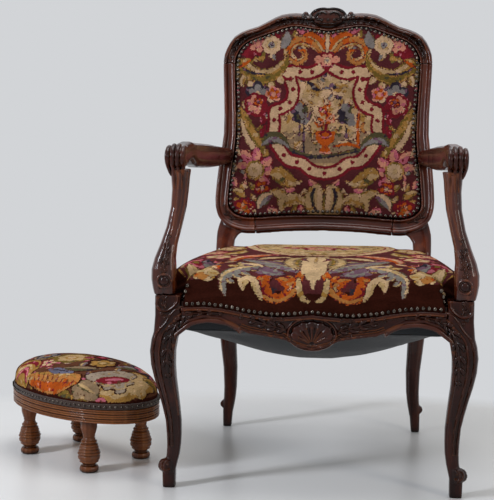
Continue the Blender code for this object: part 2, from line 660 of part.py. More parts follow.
def make_rear_post(side, frame_rings, parent):
    """Rear leg and back upright in one piece, with its length of the back's moulding and the lower corner."""
    rings = []
    for height, sway, kick, width, squareness in REAR_LEG_SHARES:
        half = POST_HALF * width
        rings.append(level_ring(
            POST_X + REAR_SWAY * sway, REAR_POST_Y + REAR_KICK * kick, RAIL_UNDER * height,
            half, half, squareness,
            POST_SIDES,
        ))
    for height in (RAIL_UNDER, RAIL_TOP):
        rings.append(level_ring(POST_X, REAR_POST_Y, height, POST_HALF, POST_HALF, 8.0, POST_SIDES))
    gap = BACK_BASE - RAIL_TOP
    for height, sway, lean, width, depth, squareness in POST_NECK_SHARES:
        rings.append(level_ring(
            POST_X + REAR_SWAY * sway, REAR_POST_Y + back_lean(BACK_BASE) * lean, RAIL_TOP + gap * height,
            POST_HALF * width, POST_HALF * depth, squareness, POST_SIDES,
        ))
    hand = "left" if side < 0 else "right"
    post = add_piece(f"rear_post_{hand}", for_side(loft(rings), side), "carved_walnut", parent)
    combine(post, for_side(loft(frame_rings), side), "UNION", "back_moulding")
    scroll_height = RAIL_UNDER * REAR_LEG_SHARES[2][0]
    scroll_x = POST_X + REAR_SWAY * REAR_LEG_SHARES[2][1] + POST_HALF * REAR_LEG_SHARES[2][3] * 0.85
    scroll_y = REAR_POST_Y + REAR_KICK * REAR_LEG_SHARES[2][2]
    scroll_centre = (scroll_x, scroll_y, scroll_height)
    scroll = roll(scroll_centre, (0, 1, 0), REAR_SCROLL_RADIUS, REAR_SCROLL_RADIUS * 1.6, 12)
    combine(post, for_side(scroll, side), "UNION", "heel_scroll")
    for label, mortise in (
        ("side_mortise", side_rear_tenon(TENON_PLAY)),
        ("rear_mortise", rear_tenon(TENON_PLAY)),
        ("arm_mortise", arm_peg(TENON_PLAY)),
        ("crest_mortise", joint_peg(STILE_END, TENON_PLAY)),
        ("lower_rail_mortise", joint_peg(STILE_START, TENON_PLAY)),
    ):
        combine(post, for_side(mortise, side), "DIFFERENCE", label)
    return post


def back_stations():
    """Right half of the back frame from foot to crest: outer point, inward direction, width and apron."""
    path = smooth(
        [
            (BACK_WIDTH / 2 * x, BACK_BASE + BACK_RISE * z, FRAME_WIDTH * w, BACK_APRON * apron)
            for x, z, w, apron in BACK_OUTLINE_SHARES
        ],
        BACK_STEPS,
    )
    stations = []
    for i, (x, z, width, apron) in enumerate(path):
        before = path[max(i - 1, 0)]
        after = path[min(i + 1, len(path) - 1)]
        along = Vector((after[0] - before[0], after[1] - before[1]))
        if i in (0, len(path) - 1):
            along.y = 0
        along.normalize()
        stations.append((Vector((x, z)), Vector((-along.y, along.x)), width, max(apron, 0)))
    return stations


def frame_ring(outer, inward, width, apron):
    """The back frame in section: apron, outer bead, cove and inner bead, with ledges for the covers."""
    cove = FRAME_COVE
    bead = FRAME_BEAD
    inner = FRAME_INNER_BEAD
    section = (
        (-apron, EDGE_EASE - HALF_FRAME), (-apron, -EDGE_EASE), (-apron * 0.2, 0), (0, cove),
        (bead * 0.12, HALF_FRAME * 0.84), (bead * 0.42, HALF_FRAME), (bead * 0.80, HALF_FRAME * 0.84),
        (bead, cove),
        (width * 0.58, cove * 0.78), (width - inner, cove), (width - inner * 0.7, HALF_FRAME * 0.80),
        (width - inner * 0.2, HALF_FRAME * 0.80), (width, LEDGE_HEIGHT), (width + FRAME_LEDGE, LEDGE_HEIGHT),
        (width + FRAME_LEDGE, REAR_REBATE - HALF_FRAME), (width, REAR_REBATE - HALF_FRAME),
        (width, -HALF_FRAME),
        (EDGE_EASE - apron, -HALF_FRAME),
    )
    ring = []
    for inset, forward in section:
        spot = outer + inward * inset
        ring.append(back_point(spot.x, spot.y, forward))
    return ring


def ease_joint(rings):
    """Draws each end of a run of rings back by half the fit, so that it clears the next piece."""
    eased = [list(ring) for ring in rings]
    for end, step in ((0, 1), (len(rings) - 1, -1)):
        eased[end] = [
            point + (other - point).normalized() * FIT_GAP / 2
            for point, other in zip(rings[end], rings[end + step])
        ]
    return eased


def joint_peg(index, play=0.0):
    """Tongue across the joint of two lengths of the back frame, at that station of its right half."""
    outer, inward, width, _ = STATIONS[index]
    middle = outer + inward * width * 0.62
    along = Vector((inward.y, -inward.x))
    axes = [
        Vector((spot.x, spot.y * math.tan(BACK_RAKE), spot.y)).normalized() for spot in (inward, along)
    ]
    centre = back_point(middle.x, middle.y, -HALF_FRAME * 0.25)
    size = (width * 0.45 + 2 * play, TENON_LENGTH * 1.8 + 2 * play, TENON_THICKNESS * 0.75 + 2 * play)
    return box(centre, size, (axes[0], axes[1], axes[0].cross(axes[1])))


def make_lower_rail(frame_rings, parent):
    """Lower rail of the back, which rises in its middle."""
    half = frame_rings[: STILE_START + 1]
    run = mirror_rings(half)[:-1] + half
    rail = add_piece("back_lower_rail", loft(ease_joint(run)), "carved_walnut", parent)
    for side in (1, -1):
        hand = "left" if side < 0 else "right"
        combine(rail, for_side(joint_peg(STILE_START), side), "UNION", f"tongue_{hand}")
    return rail


def mirror_rings(rings):
    return [[Vector((-p.x, p.y, p.z)) for p in ring] for ring in reversed(rings)]


def make_crest_rail(frame_rings, parent):
    """Crest rail with its oval cartouche and the two small balls beside it."""
    half = frame_rings[STILE_END:]
    run = half + mirror_rings(half)[1:]
    rail = add_piece("crest_rail", loft(ease_joint(run)), "carved_walnut", parent)
    for side in (1, -1):
        hand = "left" if side < 0 else "right"
        combine(rail, for_side(joint_peg(STILE_END), side), "UNION", f"tongue_{hand}")
        high = STATIONS[-1][0].y + CREST_BALL_RADIUS * 0.45
        knob = ball(
            back_point(CREST_BALL_SPREAD / 2, high, HALF_FRAME * 0.35), [CREST_BALL_RADIUS] * 3, 10, 6
        )
        combine(rail, for_side(knob, side), "UNION", f"ball_{hand}")
    middle = STATIONS[-1][0].y - CARTOUCHE_HEIGHT * 0.13
    disc = ball(
        back_point(0, middle, 0), (CARTOUCHE_WIDTH / 2, CARTOUCHE_DEPTH * 0.62, CARTOUCHE_HEIGHT / 2), 20, 8
    )
    combine(rail, disc, "UNION", "cartouche")
    return rail


def make_arm_support(side, parent):
    """S-shaped support that rises from the front leg to the grip of the arm."""
    base = LEG_TOP + FIT_GAP
    length = ARM_HEIGHT - FIT_GAP - base
    rings = []
    for i, (height, _, _, width, depth, squareness) in enumerate(ARM_SUPPORT_SHARES):
        x, y = support_place(i)
        rings.append(level_ring(
            x, y, base + length * height, ARM_BASE_WIDTH * width / 2, ARM_BASE_WIDTH * depth / 2, squareness,
            ARM_SIDES,
        ))
    hand = "left" if side < 0 else "right"
    support = add_piece(f"arm_support_{hand}", for_side(loft(rings), side), "carved_walnut", parent)
    combine(support, for_side(support_foot_tenon(), side), "UNION", "foot_peg")
    combine(support, for_side(support_head_tenon(), side), "UNION", "head_peg")
    return support


def arm_end_y(height):
    """Front of the back frame at that height, where the arm butts against it."""
    return back_point(0, height, HALF_FRAME + FIT_GAP).y


def make_armrest(side, parent):
    """Armrest from its scrolled grip, over the hollow behind the support, to the back frame."""
    nose = ARM_GRIP_Y - ARM_FRONT
    end = arm_end_y(ARM_HEIGHT)
    rings = []
    for share, top, low, drift, width in ARMREST_SHARES:
        half_z = ARM_GRIP_HEIGHT * (top - low) / 2
        middle = ARM_HEIGHT + ARM_GRIP_HEIGHT * (top + low) / 2
        x = ARM_GRIP_X - ARM_SWAY * drift
        y = nose + (end - nose) * share
        ring = []
        for u, v in oval(ARM_GRIP_WIDTH * width / 2, half_z, 3.0, ARM_SIDES):
            height = middle + v
            lean = (arm_end_y(height) - end) * max(0, (share - 0.9) / 0.1)
            ring.append(Vector((x + u, y + lean, height)))
        rings.append(ring)
    hand = "left" if side < 0 else "right"
    arm = add_piece(f"armrest_{hand}", for_side(loft(rings), side), "carved_walnut", parent)
    combine(arm, for_side(support_head_tenon(TENON_PLAY), side), "DIFFERENCE", "support_mortise")
    combine(arm, for_side(arm_peg(), side), "UNION", "back_peg")
    return arm


def arm_peg(play=0.0):
    """Peg at the arm's rear end, in the upright of the back."""
    _, top, low, drift, _ = ARMREST_SHARES[-1]
    height = ARM_HEIGHT + ARM_GRIP_HEIGHT * (top + low) / 2
    centre = (ARM_GRIP_X - ARM_SWAY * drift, arm_end_y(height), height)
    return roll(centre, (0, 1, 0), ARM_PEG_RADIUS + play, ARM_PEG_LENGTH * 1.7 + 2 * play)


def side_inside_x(y):
    return side_face_x(y) - SIDE_RAIL_DEPTH


def sag_at(x, y):
    """Depth of the hollow in the webbing, as a share: 1 at its middle and 0 at the rails."""
    middle = (FRONT_INSIDE_Y + REAR_INSIDE_Y) / 2
    reach = (REAR_INSIDE_Y - FRONT_INSIDE_Y) / 2
    u = x / side_inside_x(y)
    v = (y - middle) / reach
    return max(0, 1 - u * u) * max(0, 1 - v * v)


def sheet(name, x_lines, y_lines, kept, height, thickness, material, parent):
    """Cloth over a grid of lines: x_lines are shares of the half width, kept says which cells hold cloth."""
    bm = bmesh.new()
    grid = []
    for y, half in y_lines:
        grid.append([bm.verts.new((half * share, y, height(half * share, y))) for share in x_lines])
    for j in range(len(y_lines) - 1):
        for i in range(len(x_lines) - 1):
            if kept(i, j):
                bm.faces.new((grid[j][i], grid[j][i + 1], grid[j + 1][i + 1], grid[j + 1][i]))
    bmesh.ops.delete(bm, geom=[v for v in bm.verts if not v.link_faces], context="VERTS")
    cloth = add_piece(name, bm, material, parent)
    wall = cloth.modifiers.new("thickness", "SOLIDIFY")
    wall.thickness = thickness
    wall.offset = -1
    return cloth


def seat_lines(strips):
    """Lines of a sheet under or over the seat from front to rear, each with its half width, laps included."""
    first = LEG_BACK_Y + EDGE_EASE
    last = POST_FRONT_Y - EDGE_EASE
    pitch = (last - first) / (2 * strips + 1)
    between = [first + pitch * k for k in range(2 * strips + 2)]
    ys = [FRONT_INSIDE_Y - WEB_LAP] + between + [REAR_INSIDE_Y + WEB_LAP]
    return [(y, side_inside_x(min(max(y, first), last)) + WEB_LAP) for y in ys]


def corner_share(lines):
    """How far out a sheet goes where it passes between the legs and between the posts."""
    return min((LEG_INNER_X - EDGE_EASE) / lines[0][1], (POST_INNER_X - EDGE_EASE) / lines[-1][1])


def seat_columns(lines, strips):
    edge = corner_share(lines)
    pitch = 2 * edge / (2 * strips + 1)
    return [-1] + [-edge + pitch * k for k in range(2 * strips + 2)] + [1]


def in_corner(i, j, columns, lines):
    return i in (0, len(columns) - 2) and j in (0, len(lines) - 2)


def make_seat_webbing(parent):
    """Jute webbing under the rails, three strips each way, hollowed by the springs that stand on it."""
    lines = seat_lines(3)
    columns = seat_columns(lines, 3)
    top = RAIL_UNDER - FIT_GAP

    def kept(i, j):
        strip_x = 0 < i < len(columns) - 2 and i % 2 == 0
        strip_y = 0 < j < len(lines) - 2 and j % 2 == 0
        return strip_x or strip_y

    return sheet(
        "seat_webbing", columns, lines, kept, lambda x, y: top - WEB_SAG * sag_at(x, y),
        WEB_THICKNESS, "jute", parent,
    )


def make_dust_cloth(parent):
    """Black cotton cloth that closes the seat from below and hangs with the webbing."""
    lines = seat_lines(3)
    columns = seat_columns(lines, 3)
    top = RAIL_UNDER - FIT_GAP * 2 - WEB_THICKNESS * 1.1

    def height(x, y):
        return top - (WEB_SAG + CLOTH_EXTRA_SAG) * sag_at(x, y)

    def kept(i, j):
        return not in_corner(i, j, columns, lines)

    return sheet("seat_dust_cloth", columns, lines, kept, height, CLOTH_THICKNESS, "black_cotton", parent)


def make_seat_hessian(parent):
    """Hessian over the springs, tacked to the tops of the rails."""
    lines = seat_lines(1)
    columns = seat_columns(lines, 1)
    top = RAIL_TOP + FIT_GAP + CLOTH_THICKNESS

    def kept(i, j):
        return not in_corner(i, j, columns, lines)

    return sheet("seat_hessian", columns, lines, kept, lambda x, y: top, CLOTH_THICKNESS, "jute", parent)


def least_gap(points):
    """Shortest distance between points of a coil that lie at least half a turn apart along it."""
    return min(math.dist(points[i], points[j]) for i in range(len(points)) for j in range(i + 5, len(points)))


def make_seat_springs(parent):
    """Waisted coil springs that stand on the webbing and hold up the hessian."""
    middle_y = (FRONT_INSIDE_Y + REAR_INSIDE_Y) / 2
    wire = SPRING_WIRE / 2
    top = RAIL_TOP - wire
    places = {"centre": (0, 0)}
    for end, v in (("front", -1), ("rear", 1)):
        for hand, u in (("left", -1), ("right", 1)):
            places[f"{end}_{hand}"] = (u, v)
    turns = SPRING_TURNS
    for label, (u, v) in places.items():
        x = SPRING_SPREAD_X / 2 * u
        y = middle_y + SPRING_SPREAD_Y / 2 * v
        points = []
        for k in range(turns * 8 + 1):
            share = k / (turns * 8)
            angle = 2 * math.pi * k / 8
            radius = SPRING_RADIUS * (0.70 + 0.30 * abs(2 * share - 1))
            px = x + radius * math.cos(angle)
            py = y + radius * math.sin(angle)
            low = RAIL_UNDER - WEB_SAG * sag_at(px, py) + SPRING_LIFT + wire
            points.append((px, py, low + (top - low) * share))
        curve = bpy.data.curves.new(f"seat_spring_{label}", "CURVE")
        curve.dimensions = "3D"
        curve.bevel_depth = wire
        curve.bevel_resolution = 1
        curve.use_fill_caps = True
        spline = curve.splines.new("POLY")
        spline.points.add(len(points) - 1)
        for point, spot in zip(spline.points, points):
            point.co = (*spot, 1.0)
        spring = bpy.data.objects.new(f"seat_spring_{label}", curve)
        curve.materials.append(finish("spring_steel"))
        PIECES.objects.link(spring)
        spring.parent = parent
        print(f"{spring.name}: {1000 * (least_gap(points) - SPRING_WIRE):.2f} mm between its nearest turns")


def rail_value(table, share, column):
    """A rail's value at that share of its length, read between the entries of its table."""
    for low, high in zip(table, table[1:]):
        if low[0] <= share <= high[0]:
            part = (share - low[0]) / (high[0] - low[0])
            return low[column] + (high[column] - low[column]) * part
    return table[-1][column]


def seat_outline():
    """Right half of the seat in plan, front to back: each point with its freedom to swell and its drop."""
    face = LEG_FRONT_Y + EDGE_EASE + REBATE
    clear = FIT_GAP * 2
    inner = LEG_INNER_X - clear
    behind = LEG_BACK_Y + clear
    points = []
    for share in [entry[0] for entry in FRONT_RAIL_SHARES[:-1]] + [0.995]:
        y = face - FRONT_BOW * rail_value(FRONT_RAIL_SHARES, share, 1)
        free = min(1, (0.995 - share) * 10)
        drop = NAIL_DROP * rail_value(FRONT_RAIL_SHARES, share, 2)
        points.append(((LEG_INNER_X - FIT_GAP) * share, y, free, drop))
    corner = face - FRONT_BOW * FRONT_RAIL_SHARES[-1][1] - FIT_GAP
    points += [(inner, corner, 0, 0), (inner, FRONT_LEG_Y, 0, 0), (inner, behind, 0, 0)]
    outer = side_face_x(behind) - REBATE
    points += [((inner + outer) / 2, behind, 0, 0), (outer + FIT_GAP, behind, 0, 0)]
    start, run = side_run()
    for share in [0.015] + [entry[0] for entry in SIDE_RAIL_SHARES[1:-1]] + [0.985]:
        y = start + run * share
        free = min(1, (share - 0.015) * 10, (0.985 - share) * 10)
        points.append((side_face_x(y) - REBATE, y, free, NAIL_DROP * rail_value(SIDE_RAIL_SHARES, share, 1)))
    front_of_post = POST_FRONT_Y - clear
    inner_post = POST_INNER_X - clear
    beside_post = side_face_x(front_of_post) - REBATE + FIT_GAP
    points += [(beside_post, front_of_post, 0, 0), (inner_post, front_of_post, 0, 0)]
    points += [(inner_post, REAR_POST_Y, 0, 0), (inner_post - EDGE_EASE, REAR_FACE_Y - EDGE_EASE, 0, 0)]
    for share in (0.6, 0.3, 0):
        points.append((inner_post * share, REAR_FACE_Y - EDGE_EASE, 1, 0))
    return points


def make_seat_cushion(parent):
    """Stuffed seat: full crown, swelling sides, and a cover that comes down over the rails to its nails."""
    half = seat_outline()
    outline = half + [(-x, *rest) for x, *rest in reversed(half[1:-1])]
    middle = Vector((0, SEAT_MIDDLE_Y))
    inner, hem_inner, hem_outer = [], [], []
    rings = [inner, hem_inner, hem_outer] + [[] for _ in SEAT_RING_SHARES]
    for i, (x, y, free, drop) in enumerate(outline):
        before = outline[i - 1]
        after = outline[(i + 1) % len(outline)]
        across = Vector((after[1] - before[1], before[0] - after[0])).normalized()
        spot = Vector((x, y))
        near = spot + across * FIT_GAP * (drop > 0)
        far = near + across * COVER_THICKNESS * (drop > 0)
        hem = RAIL_TOP - drop + FIT_GAP if drop else SEAT_BASE
        inner.append(Vector((near.x, near.y, SEAT_BASE)))
        hem_inner.append(Vector((near.x, near.y, hem)))
        hem_outer.append(Vector((far.x, far.y, hem)))
        for ring, (drawn, height, swell) in zip(rings[3:], SEAT_RING_SHARES):
            out = far - middle
            edge = middle + out * (1 - drawn) + out.normalized() * CUSHION_BULGE * swell * free
            ring.append(Vector((edge.x, edge.y, SEAT_BASE + CROWN_RISE * height)))
    bm = loft(rings)
    bmesh.ops.remove_doubles(bm, verts=bm.verts, dist=FIT_GAP / 10)
    return add_piece("seat_cushion", bm, "needlepoint", parent)


def back_opening(inset):
    """The back frame's opening, drawn in by that much all round, as (x, height) pairs."""
    half = [outer + inward * (width + inset) for outer, inward, width, _ in STATIONS]
    return half + [Vector((-spot.x, spot.y)) for spot in reversed(half[1:-1])]


def back_layers(name, outline, layers, material, parent):
    """A flat piece of the back: layers are (share drawn in, forward) pairs."""
    middle = Vector((0, BACK_BASE + BACK_RISE / 2))
    rings = []
    for drawn, forward in layers:
        rings.append([
            back_point(*(middle + (spot - middle) * (1 - drawn)), forward) for spot in outline
        ])
    return add_piece(name, loft(rings), material, parent)


def make_back_upholstery(parent):
    """Pad in front, jute strips behind it, and the cloth panel that closes the back."""
    web_front = LEDGE_HEIGHT + FIT_GAP + WEB_THICKNESS
    base = web_front + FIT_GAP
    layers = [(drawn, base + BACK_PAD_CROWN * rise) for drawn, rise in BACK_PAD_SHARES]
    back_layers("back_pad", back_opening(FIT_GAP * 3), layers, "needlepoint", parent)
    rear = REAR_REBATE - HALF_FRAME - FIT_GAP
    layers = ((0, rear), (0, rear - CLOTH_THICKNESS))
    back_layers("outside_back_cloth", back_opening(FIT_GAP * 3), layers, "black_cotton", parent)
    make_back_webbing(parent)


def back_reach(height):
    """Half width of the back frame's opening at that height."""
    near = [
        outer + inward * width for outer, inward, width, _ in STATIONS[STILE_START:STILE_END + 1]
    ]
    for low, high in zip(near, near[1:]):
        if low.y <= height <= high.y:
            return low.x + (high.x - low.x) * (height - low.y) / (high.y - low.y)
    return near[0].x


def make_back_webbing(parent):
    """Jute strips across the back frame, two upright and three level, as one open lattice."""
    foot, head = STATIONS[0], STATIONS[-1]
    low = (foot[0] + foot[1] * foot[2]).y + FIT_GAP * 3
    high = (head[0] + head[1] * head[2]).y - FIT_GAP * 3
    strip = BACK_WEB_WIDTH
    gap = (high - low - 3 * strip) / 4
    levels = [low]
    for _ in range(3):
        levels += [levels[-1] + gap, levels[-1] + gap + strip]
    levels.append(high)
    bm = bmesh.new()
    rows = []
    for height in levels:
        reach = back_reach(height) - FIT_GAP * 3
        rows.append([
            bm.verts.new(back_point(reach * share, height, LEDGE_HEIGHT + FIT_GAP + WEB_THICKNESS))
            for share in BACK_WEB_SHARES
        ])
    for j in range(len(levels) - 1):
        for i in range(len(BACK_WEB_SHARES) - 1):
            if i in (1, 3) or j % 2 == 1:
                bm.faces.new((rows[j][i], rows[j][i + 1], rows[j + 1][i + 1], rows[j + 1][i]))
    bmesh.ops.delete(bm, geom=[v for v in bm.verts if not v.link_faces], context="VERTS")
    web = add_piece("back_webbing", bm, "jute", parent)
    wall = web.modifiers.new("thickness", "SOLIDIFY")
    wall.thickness = WEB_THICKNESS
    wall.offset = -1


def oval_frame(angle, length, width):
    """A point of the stool's oval and the outward direction there."""
    spot = Vector((math.cos(angle) * length / 2, math.sin(angle) * width / 2))
    out = Vector((math.cos(angle) / length, math.sin(angle) / width)).normalized()
    return spot, out


def oval_ring(section):
    """A closed band round the stool's oval: section is (inset from its outer line, height) pairs."""
    rings = []
    for k in range(OVAL_STEPS):
        spot, out = oval_frame(2 * math.pi * k / OVAL_STEPS, STOOL_LENGTH, STOOL_WIDTH)
        ring = []
        for inset, height in section:
            point = spot - out * inset
            ring.append(Vector((point.x, point.y, height)))
        rings.append(ring)
    return loft(rings, closed=True)


def make_stool_rim(parent):
    """Oval rim with a row of reeds round its outside."""
    reed = STOOL_RIM_HEIGHT / STOOL_BEADS
    groove = reed * 0.28
    section = []
    for k in range(STOOL_BEADS):
        foot = STOOL_LEG_HEIGHT + reed * k
        section += [(groove, foot), (0, foot + reed * 0.3), (0, foot + reed * 0.7)]
    top = STOOL_LEG_HEIGHT + STOOL_RIM_HEIGHT
    section += [(groove, top), (STOOL_RIM_WALL, top), (STOOL_RIM_WALL, STOOL_LEG_HEIGHT)]
    return add_piece("stool_rim", oval_ring(section), "stool_beech", parent)


def make_stool_board(parent):
    """Oval board inside the rim, bored for the tenons of the legs."""
    length = STOOL_LENGTH - 2 * STOOL_RIM_WALL
    width = STOOL_WIDTH - 2 * STOOL_RIM_WALL
    rings = []
    for height in (STOOL_LEG_HEIGHT, STOOL_LEG_HEIGHT + STOOL_BOARD_THICKNESS):
        ring = []
        for k in range(OVAL_STEPS):
            spot, out = oval_frame(2 * math.pi * k / OVAL_STEPS, STOOL_LENGTH, STOOL_WIDTH)
            point = spot - out * (STOOL_RIM_WALL + FIT_GAP)
            ring.append(Vector((point.x, point.y, height)))
        rings.append(ring)
    board = add_piece("stool_board", loft(rings), "bare_beech", parent)
    for name, x, y in stool_leg_places():
        bore = roll(
            (x, y, STOOL_LEG_HEIGHT), (0, 0, 1), STOOL_TENON_RADIUS + TENON_PLAY,
            2 * (STOOL_TENON_LENGTH + TENON_PLAY),
        )
        combine(board, bore, "DIFFERENCE", name)
    return board


def make_stool_cushion(parent):
    """Domed stool top that swells a little over the rim."""
    base = STOOL_LEG_HEIGHT + STOOL_RIM_HEIGHT + FIT_GAP
    inset = STOOL_GIMP_THICKNESS + FIT_GAP * 2
    rings = []
    for drawn, height, swell in STOOL_RING_SHARES:
        ring = []
        for k in range(OVAL_STEPS):
            spot, out = oval_frame(2 * math.pi * k / OVAL_STEPS, STOOL_LENGTH, STOOL_WIDTH)
            point = spot * (1 - drawn) - out * (inset - STOOL_BULGE * swell)
            ring.append(Vector((point.x, point.y, base + STOOL_CROWN * height)))
        rings.append(ring)
    return add_piece("stool_cushion", loft(rings), "needlepoint", parent)


def make_stool_gimp(parent):
    """Flat braid that hides the edge of the cover on the rim."""
    foot = STOOL_LEG_HEIGHT + STOOL_RIM_HEIGHT + FIT_GAP
    section = (
        (0, foot), (STOOL_GIMP_THICKNESS, foot), (STOOL_GIMP_THICKNESS, foot + STOOL_GIMP_HEIGHT),
        (0, foot + STOOL_GIMP_HEIGHT),
    )
    return add_piece("stool_gimp", oval_ring(section), "gimp_braid", parent)


def stool_leg_places():
    places = []
    for end, v in (("front", -1), ("rear", 1)):
        for hand, u in (("left", -1), ("right", 1)):
            places.append((f"stool_leg_{end}_{hand}", STOOL_LEG_SPREAD_X / 2 * u, STOOL_LEG_SPREAD_Y / 2 * v))
    return places


def stool_leg_profile():
    """Half profile from floor to tenon: foot disc, ringed bulb, neck, cup and the tenon in the board."""
    def sized(shares):
        return [(STOOL_LEG_RADIUS * r, STOOL_LEG_HEIGHT * z) for r, z in shares]

    profile = [(0.0, 0.0)] + sized(STOOL_LEG_SHARES)
    bulb = smooth(sized(STOOL_BULB_SHARES), 2)
    low, high = bulb[0][1], bulb[-1][1]
    for radius, height in bulb:
        phase = (height - low) / (high - low) * STOOL_BULB_RINGS
        groove = STOOL_LEG_RADIUS * STOOL_RING_DEPTH_SHARE * math.cos(2 * math.pi * phase)
        profile.append((radius - groove, height))
    profile += sized(STOOL_NECK_SHARES)
    top = STOOL_LEG_HEIGHT - FIT_GAP
    profile[-1] = (profile[-1][0], top)
    tenon_top = STOOL_LEG_HEIGHT + STOOL_TENON_LENGTH
    profile += [(STOOL_TENON_RADIUS, top), (STOOL_TENON_RADIUS, tenon_top), (0.0, tenon_top)]
    return profile


def make_stool_legs(parent):
    for name, x, y in stool_leg_places():
        bm = bmesh.new()
        verts = [bm.verts.new((radius, 0, height)) for radius, height in reversed(stool_leg_profile())]
        for first, second in zip(verts, verts[1:]):
            bm.edges.new((first, second))
        leg = add_piece(name, bm, "stool_beech", parent)
        leg.location = (x, y, 0)
        screw = leg.modifiers.new("turned", "SCREW")
        screw.steps = TURNED_STEPS
        screw.render_steps = TURNED_STEPS
        screw.use_merge_vertices = True
        screw.merge_threshold = 0.0001
        screw.use_smooth_shade = True


def set_origin(parents):
    """Moves the pair so that the origin is the middle of its bounding box, on the floor."""
    bpy.context.view_layer.update()
    graph = bpy.context.evaluated_depsgraph_get()
    corners = []
    for piece in PIECES.objects:
        if piece.type == "EMPTY":
            continue
        evaluated = piece.evaluated_get(graph)
        mesh = evaluated.to_mesh()
        corners += [evaluated.matrix_world @ vert.co for vert in mesh.vertices]
        evaluated.to_mesh_clear()
    shift = [-(min(c[i] for c in corners) + max(c[i] for c in corners)) / 2 for i in (0, 1)]
    for parent in parents:
        parent.location.x += shift[0]
        parent.location.y += shift[1]
    print(f"chair centre at {shift[0]:.5f} {shift[1]:.5f}")


clear_scene()
PIECES = new_collection("chair_and_footstool")
HELPERS = new_collection("cutters_and_joined_bodies")
CHAIR = bpy.data.objects.new("chair", None)
STOOL = bpy.data.objects.new("footstool", None)
for group in (CHAIR, STOOL):
    PIECES.objects.link(group)
STOOL.location = (STOOL_X, STOOL_Y, 0)
STOOL.rotation_euler.z = STOOL_TURN

STILE_START = (LOWER_RAIL_KEYS - 1) * BACK_STEPS
STILE_END = (STILE_KEYS - 1) * BACK_STEPS
STATIONS = back_stations()
FRAME_RINGS = [frame_ring(*station) for station in STATIONS]

for hand_side in (1, -1):
    make_front_leg(hand_side, CHAIR)
    make_side_rail(hand_side, CHAIR)
    make_rear_post(hand_side, ease_joint(FRAME_RINGS[STILE_START:STILE_END + 1]), CHAIR)
    make_arm_support(hand_side, CHAIR)
    make_armrest(hand_side, CHAIR)
make_front_rail(CHAIR)
make_rear_rail(CHAIR)
make_corner_blocks(CHAIR)
make_lower_rail(FRAME_RINGS, CHAIR)
make_crest_rail(FRAME_RINGS, CHAIR)
make_seat_webbing(CHAIR)
make_dust_cloth(CHAIR)
make_seat_springs(CHAIR)
make_seat_hessian(CHAIR)
make_seat_cushion(CHAIR)
make_back_upholstery(CHAIR)

make_stool_rim(STOOL)
make_stool_board(STOOL)
make_stool_cushion(STOOL)
make_stool_gimp(STOOL)
make_stool_legs(STOOL)
set_origin((CHAIR, STOOL))
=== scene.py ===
# %% [markdown]
# # An open armchair and its footstool
# The joiner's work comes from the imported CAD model. This script dresses it: polished walnut and
# beech, three stuffed pieces covered in wool needlework, rows of domed nails and the carving.

import math

import bmesh
import bpy
import numpy as np
from mathutils import Matrix, Vector
from mathutils.bvhtree import BVHTree


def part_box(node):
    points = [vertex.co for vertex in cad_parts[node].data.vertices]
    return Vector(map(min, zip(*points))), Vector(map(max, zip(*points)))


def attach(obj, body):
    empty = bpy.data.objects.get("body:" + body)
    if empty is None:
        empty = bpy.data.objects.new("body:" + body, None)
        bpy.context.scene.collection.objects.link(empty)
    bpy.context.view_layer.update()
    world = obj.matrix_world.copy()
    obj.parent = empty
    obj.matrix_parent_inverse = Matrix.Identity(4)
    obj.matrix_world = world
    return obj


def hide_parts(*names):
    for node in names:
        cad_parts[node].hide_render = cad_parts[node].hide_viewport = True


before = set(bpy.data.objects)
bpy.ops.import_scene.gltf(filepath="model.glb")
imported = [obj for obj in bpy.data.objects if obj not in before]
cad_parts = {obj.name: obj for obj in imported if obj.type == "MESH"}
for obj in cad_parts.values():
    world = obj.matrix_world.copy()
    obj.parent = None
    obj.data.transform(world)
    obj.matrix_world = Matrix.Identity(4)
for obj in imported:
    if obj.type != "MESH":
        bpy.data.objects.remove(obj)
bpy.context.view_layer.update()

# %% [markdown]
# ## Small tools
# Blender's operators act on whatever is selected, so each step first selects one object alone.
# Modifiers are applied as soon as they are made, and every finished piece keeps its place in its
# mesh, so that a pattern on Object coordinates stays put on the piece.

# %% Selecting, applying and finishing
MM = 0.001


def alone(piece):
    """Leaves one object selected and active."""
    if bpy.context.mode != "OBJECT":
        bpy.ops.object.mode_set(mode="OBJECT")
    bpy.ops.object.select_all(action="DESELECT")
    piece.select_set(True)
    bpy.context.view_layer.objects.active = piece
    return piece


def in_edit_mode(piece, *steps):
    """Selects a whole mesh and runs some mesh operators on it, each given with its settings."""
    alone(piece)
    bpy.ops.object.mode_set(mode="EDIT")
    for operator, settings in steps:
        bpy.ops.mesh.select_all(action="SELECT")
        operator(**settings)
    bpy.ops.object.mode_set(mode="OBJECT")


def with_modifier(piece, kind, **settings):
    """Adds a modifier, sets it up and applies it."""
    alone(piece)
    added = piece.modifiers.new(kind.lower(), kind)
    for key, value in settings.items():
        setattr(added, key, value)
    bpy.ops.object.modifier_apply(modifier=added.name)


def joined(pieces, name):
    """Makes one object of several and puts its place into its mesh."""
    alone(pieces[0])
    for piece in pieces:
        piece.select_set(True)
    bpy.ops.object.join()
    whole = bpy.context.view_layer.objects.active
    bpy.ops.object.transform_apply(location=True, rotation=True, scale=True)
    whole.name = name
    return whole


def finished(piece, body, material, smooth=60):
    """Gives a piece its finish, its shading and the body that it rides on."""
    piece.data.materials.clear()
    piece.data.materials.append(material)
    alone(piece)
    bpy.ops.object.shade_smooth_by_angle(angle=math.radians(smooth))
    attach(piece, body)
    return piece


print("the tools are ready")

# %% [markdown]
# ## Where things are
# The chair was drawn about the middle of its own floor area, and the stool about its own middle and
# turned. Both places are read back from the CAD pieces, so the dressing follows the joinery.

